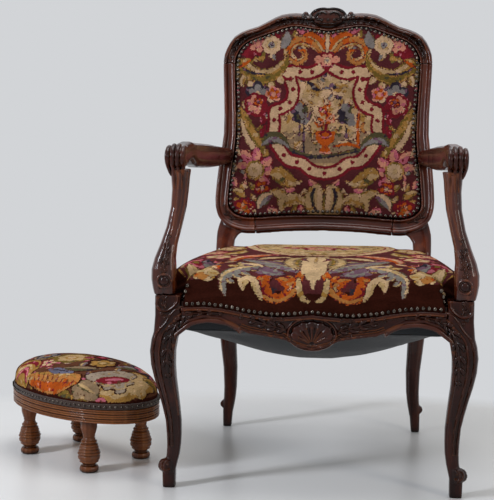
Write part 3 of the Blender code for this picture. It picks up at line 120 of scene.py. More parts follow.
# %% Places of the chair and the stool
REAR_FACE_Y = 0.2345
rear_low, rear_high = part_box("rear_rail")
CHAIR_AT = Vector(((rear_low.x + rear_high.x) / 2, rear_high.y - REAR_FACE_Y, 0))
rim_low, rim_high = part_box("stool_rim")
STOOL_AT = Vector(((rim_low.x + rim_high.x) / 2, (rim_low.y + rim_high.y) / 2, 0))
STOOL_TURN = math.radians(-37.4)
ON_STOOL = Matrix.Translation(STOOL_AT) @ Matrix.Rotation(STOOL_TURN, 4, "Z")
print("chair at", tuple(CHAIR_AT), "stool at", tuple(STOOL_AT))

# %% [markdown]
# ## Camera
# The photograph was taken from about two and a half metres, a little left of the chair's middle and
# above its arms. A long lens and a slight roll give the same lines.

# %% Camera
PHOTO_HEIGHT = 500
FOCAL_PX = 1220.56
EYE = Vector((0.1036, -2.6605, 0.7515)) + CHAIR_AT
AHEAD = Vector((-0.09752301, 0.98923908, -0.10906563)).normalized()
ROLL = math.radians(0.4363)
level = AHEAD.cross(Vector((0, 0, 1))).normalized()
upright = level.cross(AHEAD)
RIGHT = level * math.cos(ROLL) + upright * math.sin(ROLL)
UP = upright * math.cos(ROLL) - level * math.sin(ROLL)

bpy.ops.object.camera_add()
camera = bpy.context.object
camera.name = "camera"
camera.data.lens = FOCAL_PX * camera.data.sensor_width / PHOTO_HEIGHT
camera.matrix_world = Matrix.Translation(EYE) @ Matrix((RIGHT, UP, -AHEAD)).transposed().to_4x4()
bpy.context.scene.camera = camera
print("lens", round(camera.data.lens, 2), "mm")

# %% [markdown]
# ## Materials
# Colours are written as the hex values a paint card gives, and turned into the linear light that
# the renderer works with. One function adds a shader node with its settings and its links.

# %% Colours and nodes
def linear(hexcode):
    """An sRGB hex value as linear red, green, blue and a full alpha."""
    parts = [((hexcode >> shift) & 255) / 255 for shift in (16, 8, 0)]
    return (*[c / 12.92 if c <= 0.04045 else ((c + 0.055) / 1.055) ** 2.4 for c in parts], 1.0)


def put(tree, kind, inputs=None, stops=None, **settings):
    """Adds a shader node. Each input takes a plain value or another node's output."""
    added = tree.nodes.new("ShaderNode" + kind)
    for key, value in settings.items():
        setattr(added, key, value)
    for socket, value in (inputs or {}).items():
        if isinstance(value, bpy.types.NodeSocket):
            tree.links.new(value, added.inputs[socket])
        else:
            added.inputs[socket].default_value = value
    for number, (at, colour) in enumerate(stops or ()):
        ramp = added.color_ramp.elements
        spot = ramp[number] if number < 2 else ramp.new(at)
        spot.position, spot.color = at, colour
    return added


def new_material(name, **constants):
    """A material with its one shader, whose constant sockets are set by name."""
    material = bpy.data.materials.new(name)
    material.use_nodes = True
    shader = material.node_tree.nodes["Principled BSDF"]
    for socket, value in constants.items():
        shader.inputs[socket.replace("_", " ")].default_value = value
    return material, material.node_tree, shader


print("walnut brown is", [round(part, 3) for part in linear(0x642812)])

# %% [markdown]
# ### Polished walnut
# The frame is walnut, waxed and handled for a long time. Polish gives a clear highlight over brown
# wood whose grain runs along each piece. Hollows of the carving and corners between parts are
# painted darker: partly wax and dust, partly painted shade. The edges are painted a redder, lighter
# brown: partly rubbed by hands, partly a painted highlight. The occlusion node finds both: looking
# outwards it finds the hollows, and looking inwards the edges.

# %% Waxed wood
GRAIN_PITCH = 0.0011
SQUEEZE = 0.07


def polished_wood(name, grain, tones, roughness, rub_and_highlight_strength=0.35, foot=0.60, polish=0.16):
    """Waxed hardwood, grain along one axis. Tones: dark, middle, light wood, worn and lit edge, shaded hollow."""
    dark, middle, light, worn_and_lit, hollow = (linear(tone) for tone in tones)
    material, tree, shader = new_material(
        name, Roughness=roughness, Specular_IOR_Level=0.16, Coat_Weight=polish, Coat_Roughness=0.07, IOR=1.48
    )
    place = put(tree, "TexCoord")
    stretch = [SQUEEZE if axis == grain else 1.0 for axis in "XYZ"]
    along = put(tree, "Mapping", {"Vector": place.outputs["Object"], "Scale": stretch})
    figure = put(tree, "TexNoise", {"Vector": along.outputs[0], "Scale": 46, "Detail": 5, "Distortion": 0.6})
    pores = put(tree, "TexNoise", {"Vector": along.outputs[0], "Scale": 1 / GRAIN_PITCH, "Detail": 2})
    wood = put(tree, "ValToRGB", {"Fac": figure.outputs["Fac"]}, ((0.30, dark), (0.52, middle), (0.74, light)))
    dusk = put(tree, "Mix", {0: pores.outputs["Fac"], 6: wood.outputs["Color"], 7: dark}, data_type="RGBA")
    # Hollows and corners darker: wax and dust, and painted shade. Edges redder and lighter: wear, and a painted
    # highlight
    deep = put(tree, "AmbientOcclusion", {"Distance": 0.018}, samples=6)
    shade = put(tree, "MapRange", {"Value": deep.outputs["AO"], "From Min": 0.42, "From Max": 0.90})
    wax_and_shade = put(tree, "Mix", {0: shade.outputs["Result"], 6: hollow, 7: dusk.outputs[2]}, data_type="RGBA")
    ridge = put(tree, "AmbientOcclusion", {"Distance": 0.0022}, samples=4, inside=True)
    rub_and_highlight = put(tree, "MapRange", {
        "Value": ridge.outputs["AO"], "From Min": 0.45, "From Max": 0.93, "To Min": rub_and_highlight_strength, "To Max": 0.0,
    })
    colour = put(tree, "Mix", {0: rub_and_highlight.outputs["Result"], 6: wax_and_shade.outputs[2], 7: worn_and_lit}, data_type="RGBA")
    # Painted shade: darker towards the floor, where the legs stand in the shade of the seat. Darker towards the top
    # of the back as well
    height = put(tree, "SeparateXYZ", {0: place.outputs["Object"]})
    height_darkening = put(tree, "ValToRGB", {"Fac": height.outputs["Z"]}, (
        (0.28, (foot, foot, foot, 1)), (0.46, (1, 1, 1, 1)), (0.80, (1, 1, 1, 1)), (0.93, (0.62, 0.62, 0.62, 1)),
    ))
    height_darkened = put(tree, "VectorMath", {0: colour.outputs[2], 1: height_darkening.outputs["Color"]}, operation="MULTIPLY")
    tree.links.new(height_darkened.outputs[0], shader.inputs["Base Color"])
    grooves = put(tree, "Bump", {"Height": pores.outputs["Fac"], "Strength": 0.25, "Distance": 0.0003})
    tree.links.new(grooves.outputs[0], shader.inputs["Normal"])
    return material


# %% Walnut and beech
# Plain walnut for the rails, an older, darker one where hands and feet touch, and the carving
# darkest of all. The footstool is beech, warmer and yellower, with no painted shade at its feet.
LIGHT_TONES = (0x34120A, 0x642812, 0x8C421E, 0xA85E2C, 0x0A0403)
OLD_TONES = (0x220A06, 0x4A1A0E, 0x723018, 0x9A5428, 0x060202)
# Plain walnut gets the darkest painted shade near the floor, for its rear legs under the seat
WALNUT, OLD_WALNUT = {}, {}
for axis in "XYZ":
    WALNUT[axis] = polished_wood(f"polished_walnut_{axis.lower()}", axis, LIGHT_TONES, 0.26, 0.30, 0.42, 0.30)
for axis in "XYZ":
    OLD_WALNUT[axis] = polished_wood(f"waxed_walnut_{axis.lower()}", axis, OLD_TONES, 0.22)
CARVED = polished_wood("waxed_carving", "X", (0x1C0805, 0x38130A, 0x582612, 0x8A4C26, 0x050202), 0.20, 0.10)
HANDLED = polished_wood(
    "handled_walnut", "Z", (0x2A0E08, 0x5E2412, 0x8E4420, 0xA05A2E, 0x080303), 0.20, 0.25, 0.6, 0.55
)
EBONISED = polished_wood(
    "dark_crest_wood", "X", (0x160907, 0x2A140E, 0x402015, 0x6A3C26, 0x050202), 0.20, 0.12, 0.6, 0.20
)
BEECH_TONES = {
    "X": (0x54280F, 0x783E1A, 0x96582A, 0xBE7C3E, 0x140703), "Z": (0x542A14, 0x7C4622, 0x9C6032, 0xBC8048, 0x140703),
}
BEECH = {
    axis: polished_wood(f"polished_beech_{axis.lower()}", axis, tones, 0.27, 0.35, 1.0)
    for axis, tones in BEECH_TONES.items()
}
print(len(WALNUT) + len(OLD_WALNUT) + len(BEECH) + 3, "woods")

# %% [markdown]
# ### Plain woods, cloth, wire and brass
# Inside the seat the wood stays bare and the webbing, hessian and springs are workshop stock. The
# nails are brass, lacquered dark brown, with the brass showing where the domes are rubbed.

# %% Workshop materials
def plain_stuff(name, dark, light, pitch, roughness, metallic=0.0):
    """A plain finish whose colour and surface vary at the given pitch in metres."""
    material, tree, shader = new_material(name, Roughness=roughness, Metallic=metallic)
    place = put(tree, "TexCoord")
    grit = put(tree, "TexNoise", {"Vector": place.outputs["Object"], "Scale": 1 / pitch, "Detail": 3})
    tone = put(tree, "ValToRGB", {"Fac": grit.outputs["Fac"]}, ((0.35, linear(dark)), (0.65, linear(light))))
    tree.links.new(tone.outputs["Color"], shader.inputs["Base Color"])
    relief = put(tree, "Bump", {"Height": grit.outputs["Fac"], "Strength": 0.4, "Distance": 0.0004})
    tree.links.new(relief.outputs[0], shader.inputs["Normal"])
    return material


def woven_stuff(name, warp, weft, pitch):
    """Plain weave: two sets of threads that cross at the given pitch."""
    material, tree, shader = new_material(name, Roughness=0.92, Sheen_Weight=0.2)
    place = put(tree, "TexCoord")
    threads = put(tree, "TexChecker", {
        "Vector": place.outputs["Object"], "Scale": 1 / pitch, "Color1": linear(warp), "Color2": linear(weft),
    })
    tree.links.new(threads.outputs["Color"], shader.inputs["Base Color"])
    relief = put(tree, "Bump", {"Height": threads.outputs["Fac"], "Strength": 0.5, "Distance": 0.0005})
    tree.links.new(relief.outputs[0], shader.inputs["Normal"])
    return material


BARE_BEECH = plain_stuff("bare_beech", 0x9A7248, 0xB58C5E, 0.012, 0.75)
BLACK_COTTON = woven_stuff("black_cotton", 0x14171B, 0x1E2226, 0.0016)
JUTE = woven_stuff("jute", 0x8A6B42, 0xA88958, 0.0024)
WIRE = plain_stuff("drawn_wire", 0x6E6A66, 0x8D8984, 0.004, 0.38, metallic=1.0)
BRASS = plain_stuff("browned_brass", 0x2A2624, 0x6A6158, 0.006, 0.18, metallic=1.0)
BRAID = woven_stuff("dark_braid", 0x2A1A14, 0x3E2A1E, 0.0022)
print("six workshop materials")

# %% [markdown]
# ### A finish for every CAD piece
# Most woods are replaced further down by copies with eased edges. What stays, such as the springs
# and the corner blocks, keeps its CAD mesh and only gets a finish here. The grain of a piece runs
# along its longest side, so its box tells which walnut it takes.

# %% Finishes of the CAD pieces
def finish_of(node_name):
    """The material of a CAD piece, by its name and its longest side."""
    low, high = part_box(node_name)
    grain = "XYZ"[max(range(3), key=lambda i: high[i] - low[i])]
    if node_name.startswith("corner_block") or node_name == "stool_board":
        return BARE_BEECH
    if node_name.startswith("stool"):
        return BEECH["Z" if "leg" in node_name else "X"]
    if "webbing" in node_name or "hessian" in node_name:
        return JUTE
    if "spring" in node_name:
        return WIRE
    if "cloth" in node_name:
        return BLACK_COTTON
    handled = any(word in node_name for word in ("front", "arm", "crest"))
    return (OLD_WALNUT if handled else WALNUT)[grain]


for node_name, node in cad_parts.items():
    node.data.materials.clear()
    node.data.materials.append(finish_of(node_name))
print(len(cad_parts), "CAD pieces have their finish")

# %% [markdown]
# ## The canvas
# The covers are wool on an open canvas, worked stitch by stitch. A stitcher draws such a design on
# squared paper first, and so does this script: each small square of a flat board holds the number
# of a yarn. Every yarn's area is then softened and read at the points of the stuffed shape, and the
# shader turns it back into stitches with ragged edges. An unwrapped picture would do the same, but
# a script without image files has to draw its own. Lengths on the board are in millimetres.

# %% Yarns
YARNS = {
    "ground": 0x592B2E, "border": 0x361710, "slate": 0x34303A, "moss": 0x555238, "olive": 0x78652F,
    "gold": 0xA98243, "straw": 0xBDA274, "crimson": 0x7C222C, "rose": 0xC06A7A, "salmon": 0xD29279,
    "orange": 0xB8571F, "smoke": 0x85827E, "putty": 0x947F63, "stone": 0xA39684, "amber": 0xB67C42,
    "steel": 0x696B80, "cream": 0xCFB28C, "lilac": 0x74586A,
}
# For each yarn the one that shades it and the one that lights it
TONES = {
    "moss": ("slate", "olive"), "olive": ("moss", "gold"), "gold": ("olive", "straw"), "straw": ("gold", "cream"),
    "crimson": ("ground", "rose"), "rose": ("crimson", "salmon"), "salmon": ("rose", "cream"),
    "orange": ("crimson", "salmon"), "smoke": ("lilac", "smoke"), "putty": ("moss", "straw"),
    "stone": ("putty", "straw"), "amber": ("orange", "straw"), "steel": ("slate", "smoke"),
    "slate": ("slate", "lilac"), "lilac": ("slate", "smoke"),
}
NAMES = list(YARNS)
print(len(NAMES), "yarns")

# %% [markdown]
# ### Squared paper
# A closed outline is filled by counting how often a line from each square crosses it, and a round
# spot takes the squares within its radius. All other motifs are made of these two. Real petals and
# leaves are worked in three tones, so a soft random cloud picks a darker or a lighter yarn at last.

# %% The board
CELL = 1.25
SOFTENING = 0.36


def spread(area, axis):
    """Each square's mean with its two neighbours."""
    return (np.roll(area, 1, axis) + area + np.roll(area, -1, axis)) / 3


class Board:
    """Squared paper: u runs across, v up, both in millimetres from its middle foot."""

    def __init__(self, half_width, low, high, mirror=True):
        self.left, self.low, self.mirror = -half_width, low, mirror
        rows, columns = round((high - low) / CELL), round(2 * half_width / CELL)
        self.squares = np.zeros((rows, columns), np.int8)
        across, up = self.left + CELL * (np.arange(columns) + 0.5), low + CELL * (np.arange(rows) + 0.5)
        self.v, self.u = np.meshgrid(up, across, indexing="ij")

    def patch(self, points, yarn):
        """Fills a closed outline."""
        for flip in (1, -1)[: 1 + self.mirror]:
            inside = np.zeros(self.squares.shape, bool)
            ends = [(flip * x, y) for x, y in points]
            for (ax, ay), (bx, by) in zip(ends, ends[1:] + ends[:1]):
                if ay != by:
                    crossing = (ay > self.v) != (by > self.v)
                    inside ^= crossing & (self.u < (bx - ax) * (self.v - ay) / (by - ay) + ax)
            self.squares[inside] = NAMES.index(yarn)

    def dab(self, spots, yarn):
        """Round spots, each (x, y, radius)."""
        for x, y, radius in spots:
            for flip in (1, -1)[: 1 + self.mirror]:
                column = int((flip * x - radius - self.left) / CELL)
                row = int((y - radius - self.low) / CELL)
                span = int(2 * radius / CELL) + 2
                window = (slice(max(row, 0), row + span), slice(max(column, 0), column + span))
                near = (self.u[window] - flip * x) ** 2 + (self.v[window] - y) ** 2 < radius ** 2
                self.squares[window][near] = NAMES.index(yarn)

    def shaded(self, seed, rate=1.0):
        """Works darker and lighter yarns into each motif, as petals and leaves are shaded."""
        cloud = np.random.default_rng(seed).standard_normal(self.squares.shape).astype(np.float32)
        for axis in (0, 1) * 9:
            cloud = spread(cloud, axis)
        if self.mirror:
            cloud += cloud[:, ::-1]
        cloud /= cloud.std()
        before = self.squares.copy()
        for yarn, (darker, lighter) in TONES.items():
            mine = before == NAMES.index(yarn)
            self.squares[mine & (cloud < -rate)] = NAMES.index(darker)
            self.squares[mine & (cloud > rate)] = NAMES.index(lighter)

    def fields(self):
        """For each yarn a soft area: above 0 where that yarn is, below 0 elsewhere."""
        soft = {}
        for number, yarn in enumerate(NAMES):
            area = (self.squares == number).astype(np.float32)
            if number and area.any():
                for axis in (0, 1, 0, 1):
                    area = spread(area, axis)
                soft[yarn] = area - SOFTENING
        return soft

    def onto(self, piece, u, v):
        """Writes the place on the canvas, in metres, and the soft areas to the piece's points."""
        place = piece.data.attributes.new("canvas", "FLOAT_VECTOR", "POINT")
        flat = np.stack([u, v, np.zeros_like(u)], 1).astype(np.float32)
        place.data.foreach_set("vector", flat.ravel())
        x = np.clip((u / MM - self.left) / CELL - 0.5, 0, self.squares.shape[1] - 1.001)
        y = np.clip((v / MM - self.low) / CELL - 0.5, 0, self.squares.shape[0] - 1.001)
        i, j = x.astype(int), y.astype(int)
        fx, fy = x - i, y - j
        for yarn, area in self.fields().items():
            value = (
                area[j, i] * (1 - fx) * (1 - fy) + area[j, i + 1] * fx * (1 - fy)
                + area[j + 1, i] * (1 - fx) * fy + area[j + 1, i + 1] * fx * fy
            )
            layer = piece.data.attributes.new("yarn_" + yarn, "FLOAT", "POINT")
            layer.data.foreach_set("value", value.astype(np.float32))


print("each square is", CELL, "mm wide")

# %% [markdown]
# ### Strokes, leaves and flowers
# Scrolls and stems are brush strokes along smooth curves, leaves are short strokes that swell and
# end in a point, and rings of petals make the flowers. On a chart each line names one motif, gives
# its places and sizes in millimetres and, after the bar, its yarns. A line that starts with a space
# carries the last one on. The motifs are worked in their order, so later ones cover earlier ones.

# %% Curves and charts
def smooth_through(keys, steps):
    """A smooth run of points through the keys."""
    points = []
    last = len(keys) - 1
    for i in range(last):
        around = (keys[max(i - 1, 0)], keys[i], keys[i + 1], keys[min(i + 2, last)])
        for k in range(steps):
            t = k / steps
            points.append(tuple(
                b + t * (c - a) / 2 + t * t * (a - 2.5 * b + 2 * c - d / 2) + t ** 3 * (1.5 * (b - c) + (d - a) / 2)
                for a, b, c, d in zip(*around)
            ))
    points.append(tuple(keys[-1]))
    return points


def keys_of(text):
    """Reads keys: "12 30 4, 20 36 5" is two keys of three numbers."""
    return [tuple(map(float, key.split())) for key in text.split(",")]


def entries(text):
    """The entries of a chart, without its remarks."""
    found = []
    for line in text.strip().split("\n"):
        if line.startswith(" "):
            found[-1] += line
        elif not line.startswith("#"):
            found.append(line)
    return found


print("a curve through three keys has", len(smooth_through(keys_of("0 0, 1 1, 2 0"), 5)), "points")

# %% The motifs
LEAF_SHARES = ((0, 0.15), (0.2, 0.72), (0.45, 1.0), (0.7, 0.78), (0.9, 0.36), (1, 0.08))
OUTLINE = 1.07


class Canvas(Board):
    """A board with the motifs of the needlework. Keys are in millimetres, and yarns are one text."""

    def stroke(self, keys, bands):
        """A brush stroke. Keys: x, y, half width. Bands: yarn, share of the width and place aside."""
        points = smooth_through(keys, 14)
        for band in bands.split(","):
            yarn, share, *aside = band.split()
            share, aside, spots = float(share), float(*aside), []
            for i, (x, y, half) in enumerate(points):
                ax, ay, _ = points[max(i - 1, 0)]
                bx, by, _ = points[min(i + 1, len(points) - 1)]
                off = half * aside / (math.hypot(bx - ax, by - ay) or 1)
                spots.append((x - (by - ay) * off, y + (bx - ax) * off, max(half * share, CELL * 0.8)))
            self.dab(spots, yarn)

    def leaf(self, keys, yarns):
        """A leaf. Keys: stalk, tip, bend and width. Yarns: edge, body and lit half."""
        (ax, ay), (bx, by), (bend, width) = keys
        run = math.hypot(bx - ax, by - ay)
        nx, ny = (ay - by) / run, (bx - ax) / run
        line = []
        for share, full in LEAF_SHARES:
            arc = 4 * share * (1 - share) * bend
            line.append((ax + (bx - ax) * share + nx * arc, ay + (by - ay) * share + ny * arc, width / 2 * full))
        edge, body, lit = yarns.split()
        self.stroke(line, f"{edge} 1, {body} .74, {lit} .34 .42")

    def blossom(self, keys, yarns):
        """A ring of round petals. Keys: x, y and size, then how many petals and their turn."""
        (x, y, size), (petals, turn) = keys
        outer, inner, rim, heart = yarns.split()
        angles = [turn + 2 * math.pi * k / petals for k in range(int(petals))]
        for yarn, reach, share in ((outer, 0.60, 0.42), (inner, 0.50, 0.24)):
            ring = [(x + math.cos(a) * size * reach, y + math.sin(a) * size * reach, size * share) for a in angles]
            self.dab(ring, yarn)
        self.dab([(x, y, size * 0.34)], rim)
        self.dab([(x, y, size * 0.20)], heart)

    def shape(self, corners, yarns):
        """A closed shape with rounded corners. Yarns: the shape and its thin outline."""
        yarn, edge = yarns.split()
        around = smooth_through([*corners, corners[0]], 6)[:-1]
        middle = [sum(axis) / len(around) for axis in zip(*around)]
        self.patch([tuple(m + (c - m) * OUTLINE for c, m in zip(corner, middle)) for corner in around], edge)
        self.patch(around, yarn)

    def foliage(self, spots, seed, kinds):
        """Small leaves at the spots, each with its own lean, for the ground between the motifs."""
        chance, kinds = np.random.default_rng(seed), kinds.split(",")
        for x, y in spots:
            lean, reach = chance.uniform(0, 6.28), chance.uniform(16, 30)
            yarns = kinds[chance.integers(len(kinds))]
            tip = (x + reach * math.cos(lean), y + reach * math.sin(lean))
            self.leaf([(x, y), tip, (chance.uniform(-6, 6), reach * 0.62)], yarns)

    def chart(self, text):
        """Works the motifs of a chart, one after the other."""
        work = {
            "stroke": self.stroke, "leaf": self.leaf, "blossom": self.blossom, "shape": self.shape,
            "patch": self.patch, "dab": self.dab,
        }
        for entry in entries(text):
            places, yarns = entry.split("|")
            kind, places = places.split(" ", 1)
            work[kind](keys_of(places), yarns.strip())


print("the canvas knows strokes, leaves, blossoms, shapes, patches and dabs")

# %% [markdown]
# ### The shader of the needlework
# The canvas is divided into stitches. Each stitch has its own chance value, which makes the edges
# of the motifs ragged and the wool uneven. The real thread count is near 1.8 mm, drawn here at
# 2.6 mm so that single stitches show in a picture of the whole chair.

# %% Needlework shader
STITCH = 0.0026


def needlework(name, yarns, ground, browning_and_shade):
    """Wool stitches whose colours come from the soft areas on the piece. Browning and shade: how smoke browned them,
    with painted shade on the back.
    """
    material, tree, shader = new_material(name, Roughness=0.95, Specular_IOR_Level=0.03)
    place = put(tree, "Attribute", attribute_name="canvas")
    counts = (1 / STITCH, 1 / STITCH, 1)
    stitch = put(tree, "VectorMath", {0: place.outputs["Vector"], 1: counts}, operation="MULTIPLY")
    cell = put(tree, "VectorMath", {0: stitch.outputs[0]}, operation="FLOOR")
    chance = put(tree, "TexWhiteNoise", {"Vector": cell.outputs[0]}, noise_dimensions="3D")
    ragged = put(tree, "Math", {0: chance.outputs["Value"], 1: 0.50, 2: -0.25}, operation="MULTIPLY_ADD")
    colour = put(tree, "RGB").outputs[0]
    colour.default_value = linear(ground)
    for yarn in yarns:
        area = put(tree, "Attribute", attribute_name="yarn_" + yarn)
        edge = put(tree, "Math", {0: area.outputs["Fac"], 1: ragged.outputs[0]}, operation="ADD")
        there = put(tree, "Math", {0: edge.outputs[0], 1: 0.0}, operation="GREATER_THAN")
        mixed = put(tree, "Mix", {0: there.outputs[0], 6: colour, 7: linear(YARNS[yarn])}, data_type="RGBA")
        colour = mixed.outputs[2]
    # Each stitch is a slanting bead of wool, with a painted highlight in its middle and painted shade in the gaps
    # between stitches
    part = put(tree, "VectorMath", {0: stitch.outputs[0]}, operation="FRACTION")
    middle = put(tree, "VectorMath", {0: part.outputs[0], 1: (0.5, 0.5, 0)}, operation="SUBTRACT")
    slant = put(tree, "Mapping", {
        "Vector": middle.outputs[0], "Rotation": (0, 0, math.radians(45)), "Scale": (1.25, 1.9, 0),
    }, vector_type="POINT")
    away = put(tree, "VectorMath", {0: slant.outputs[0]}, operation="LENGTH")
    bead = put(tree, "MapRange", {
        "Value": away.outputs["Value"], "From Min": 0.25, "From Max": 0.95, "To Min": 1.0, "To Max": 0.0,
    })
    uneven = put(tree, "Math", {0: chance.outputs["Value"], 1: 0.26, 2: 0.80}, operation="MULTIPLY_ADD")
    stitch_shade = put(tree, "Math", {0: bead.outputs["Result"], 1: 0.30, 2: 0.78}, operation="MULTIPLY_ADD")
    light = put(tree, "Math", {0: uneven.outputs[0], 1: stitch_shade.outputs[0]}, operation="MULTIPLY")
    fade = put(tree, "TexNoise", {"Vector": place.outputs["Vector"], "Scale": 26, "Detail": 3})
    patchy = put(tree, "MapRange", {
        "Value": fade.outputs["Fac"], "From Min": 0.3, "From Max": 0.7, "To Min": 0.78, "To Max": 1.22,
    })
    light = put(tree, "Math", {0: light.outputs[0], 1: patchy.outputs["Result"]}, operation="MULTIPLY")
    # The colour is scaled by the uneven, faded wool and by the stitches' painted highlight and shade
    worn_and_lit = put(tree, "VectorMath", {0: colour, "Scale": light.outputs[0]}, operation="SCALE")
    browned_and_shaded = put(tree, "VectorMath", {0: worn_and_lit.outputs[0], 1: browning_and_shade}, operation="MULTIPLY")
    tree.links.new(browned_and_shaded.outputs[0], shader.inputs["Base Color"])
    relief = put(tree, "Bump", {"Height": bead.outputs["Result"], "Strength": 0.6, "Distance": 0.0009})
    tree.links.new(relief.outputs[0], shader.inputs["Normal"])
    return material


def covered(piece, canvas, u, v, body, ground, browning_and_shade, node_name):
    """Works the canvas onto a stuffed piece, which then stands for its CAD solid."""
    canvas.onto(piece, u, v)
    yarns = list(canvas.fields())
    wool = needlework("wool_needlework_" + node_name.split("_")[0], yarns, ground, browning_and_shade)
    finished(piece, body, wool)
    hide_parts(node_name)
    print(node_name, "worked in", len(yarns), "yarns,", len(piece.data.polygons), "faces")


print("a stitch is", STITCH / MM, "mm wide")

# %% [markdown]
# ## Stuffing
# Seat, back and stool top are springs and hair under a tight cover. A copy of the CAD solid is made
# an even mesh, drawn a little inwards and blown up as cloth for a moment, while its edges are held
# fast. How far a point may move is capped, so the shape stays the one that was measured. Modelling
# the swell by hand is possible too, but the simulation also gives the slight pull at the edges.

# %% Points of a mesh
def merged_copy(node_name, name):
    """A copy of a CAD node with its triangles joined."""
    copy = bpy.data.objects.new(name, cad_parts[node_name].data.copy())
    bpy.context.scene.collection.objects.link(copy)
    in_edit_mode(copy, (bpy.ops.mesh.remove_doubles, {"threshold": 0.00002}))
    return copy


def points_of(piece):
    """The places of all vertices, one row each."""
    flat = np.empty(len(piece.data.vertices) * 3, np.float32)
    piece.data.vertices.foreach_get("co", flat)
    return flat.reshape(-1, 3)


def put_points(piece, points):
    """Moves all vertices to new places."""
    piece.data.vertices.foreach_set("co", points.astype(np.float32).ravel())
    piece.data.update()


def normals_of(piece):
    """The directions in which the vertices face."""
    flat = np.empty(len(piece.data.vertices) * 3, np.float32)
    piece.data.vertex_normals.foreach_get("vector", flat)
    return flat.reshape(-1, 3)


print("the seat's solid has", len(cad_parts["seat_cushion"].data.vertices), "points")

# %% Stuffing
FRAMES = 20
PRESSURE = 4.0


def stuffed(piece, voxel, shrink, cap, held):
    """Even mesh, slightly smaller, then blown up as cloth. held says which points stay where they are."""
    with_modifier(piece, "REMESH", mode="VOXEL", voxel_size=voxel)
    with_modifier(piece, "SMOOTH", factor=0.5, iterations=3)
    start = points_of(piece)
    fixed = held(start)
    put_points(piece, start - normals_of(piece) * (shrink * ~fixed)[:, None])
    start = points_of(piece)
    group = piece.vertex_groups.new(name="held")
    group.add([int(i) for i in np.flatnonzero(fixed)], 1.0, "REPLACE")
    alone(piece)
    cloth = piece.modifiers.new("cloth", "CLOTH")
    for key, value in (
        ("quality", 5), ("mass", 0.3), ("tension_stiffness", 12), ("compression_stiffness", 12),
        ("bending_stiffness", 0.8), ("use_pressure", True), ("uniform_pressure_force", PRESSURE),
        ("vertex_group_mass", "held"),
    ):
        setattr(cloth.settings, key, value)
    cloth.settings.effector_weights.gravity = 0
    cloth.point_cache.frame_start = 1
    cloth.point_cache.frame_end = FRAMES
    for number in range(1, FRAMES + 1):
        bpy.context.scene.frame_set(number)
    graph = bpy.context.evaluated_depsgraph_get()
    blown = points_of(piece.evaluated_get(graph))
    piece.modifiers.remove(cloth)
    bpy.context.scene.frame_set(1)
    moved = blown - start
    length = np.linalg.norm(moved, axis=1, keepdims=True)
    put_points(piece, start + moved * np.minimum(1, cap / np.maximum(length, 1e-9)))
    print(piece.name, "moved by up to", round(float(length.max()) / MM, 1), "mm, capped at", cap / MM)
    with_modifier(piece, "SUBSURF", levels=1, render_levels=1)


print("covers are blown up over", FRAMES, "frames")

# %% [markdown]
# ### The seat
# The seat's cover comes down over the rails like a skirt. To be blown up it has to be one closed
# bag, so the space between the rails is filled first. Afterwards the same filling is cut away
# again, which leaves the skirt as a thin cloth in front of the rails.

# %% The seat's stuffed shape
SEAT_BASE = 0.3863
RAIL_TOP = 0.384
FILLING_DEPTH = 0.06
FILLING_OVERLAP = 0.004
SEAT_VOXEL = 0.005


def seat_filling():
    """The space inside the cover's skirt, between the rails: the cushion's flat base, drawn down."""
    filling = merged_copy("seat_cushion", "seat_filling")
    work = bmesh.new()
    work.from_mesh(filling.data)
    away = [f for f in work.faces if not (f.normal.z < -0.9 and abs(f.calc_center_median().z - SEAT_BASE) < MM)]
    bmesh.ops.delete(work, geom=away, context="FACES")
    down = bmesh.ops.extrude_face_region(work, geom=work.faces[:])
    moved = [g for g in down["geom"] if isinstance(g, bmesh.types.BMVert)]
    bmesh.ops.translate(work, verts=moved, vec=(0, 0, -FILLING_DEPTH))
    bmesh.ops.recalc_face_normals(work, faces=work.faces[:])
    work.to_mesh(filling.data)
    work.free()
    return filling


seat_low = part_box("seat_cushion")[0].z
plug = seat_filling()
raised = plug.copy()
raised.data = plug.data.copy()
bpy.context.scene.collection.objects.link(raised)
put_points(raised, points_of(raised) + np.array([0, 0, FILLING_OVERLAP]))
seat = joined([merged_copy("seat_cushion", "seat_cover"), raised], "seat_cover")
with_modifier(seat, "REMESH", mode="VOXEL", voxel_size=SEAT_VOXEL)
in_edit_mode(seat, (bpy.ops.mesh.bisect, {
    "plane_co": (0, 0, seat_low + 0.5 * MM), "plane_no": (0, 0, 1), "use_fill": True, "clear_inner": True,
}))
stuffed(seat, 0.0055, 0.004, 0.008, lambda p: p[:, 2] < RAIL_TOP + 2 * MM)
with_modifier(seat, "BOOLEAN", operation="DIFFERENCE", object=plug, solver="EXACT")
bpy.data.objects.remove(plug)
print("seat", len(seat.data.polygons), "faces")

# %% [markdown]
# ### The seat's place on the canvas
# The cloth lies level on top and comes down over the front, the sides and the back. So a point's
# place on the canvas is its place seen from above, counted on by how far it has come down, on the
# side over which it comes down.

# %% The seat's canvas places
SEAT_TOP = 0.451
FRONT_FOLD, REAR_FOLD = -0.29, 0.215
SIDE_FOLD_Y, SIDE_FOLD_X = (-0.29, 0.24), (0.315, 0.23)
at = points_of(seat) - np.array(CHAIR_AT)
drop = np.maximum(0, SEAT_TOP - at[:, 2])
to_front = FRONT_FOLD - at[:, 1]
to_side = np.abs(at[:, 0]) - np.interp(at[:, 1], SIDE_FOLD_Y, SIDE_FOLD_X)
to_rear = at[:, 1] - REAR_FOLD
sideways = (to_side > to_front) & (to_side > to_rear)
rearward = (to_rear > to_front) & ~sideways
seat_u = at[:, 0] + np.sign(at[:, 0]) * drop * sideways
seat_v = at[:, 1] - drop * ~(sideways | rearward) + drop * rearward
print("seat canvas", round(float(np.ptp(seat_u)), 3), "by", round(float(np.ptp(seat_v)), 3), "m")

# %% [markdown]
# ### The seat's design
# A cream palmette stands at the front edge between orange scrolls. Leaves, roses and bell flowers
# fill both sides, and a cream band frames the pale middle with its bouquet. Small leaves come
# first, all over the ground, and the motifs are worked over them.

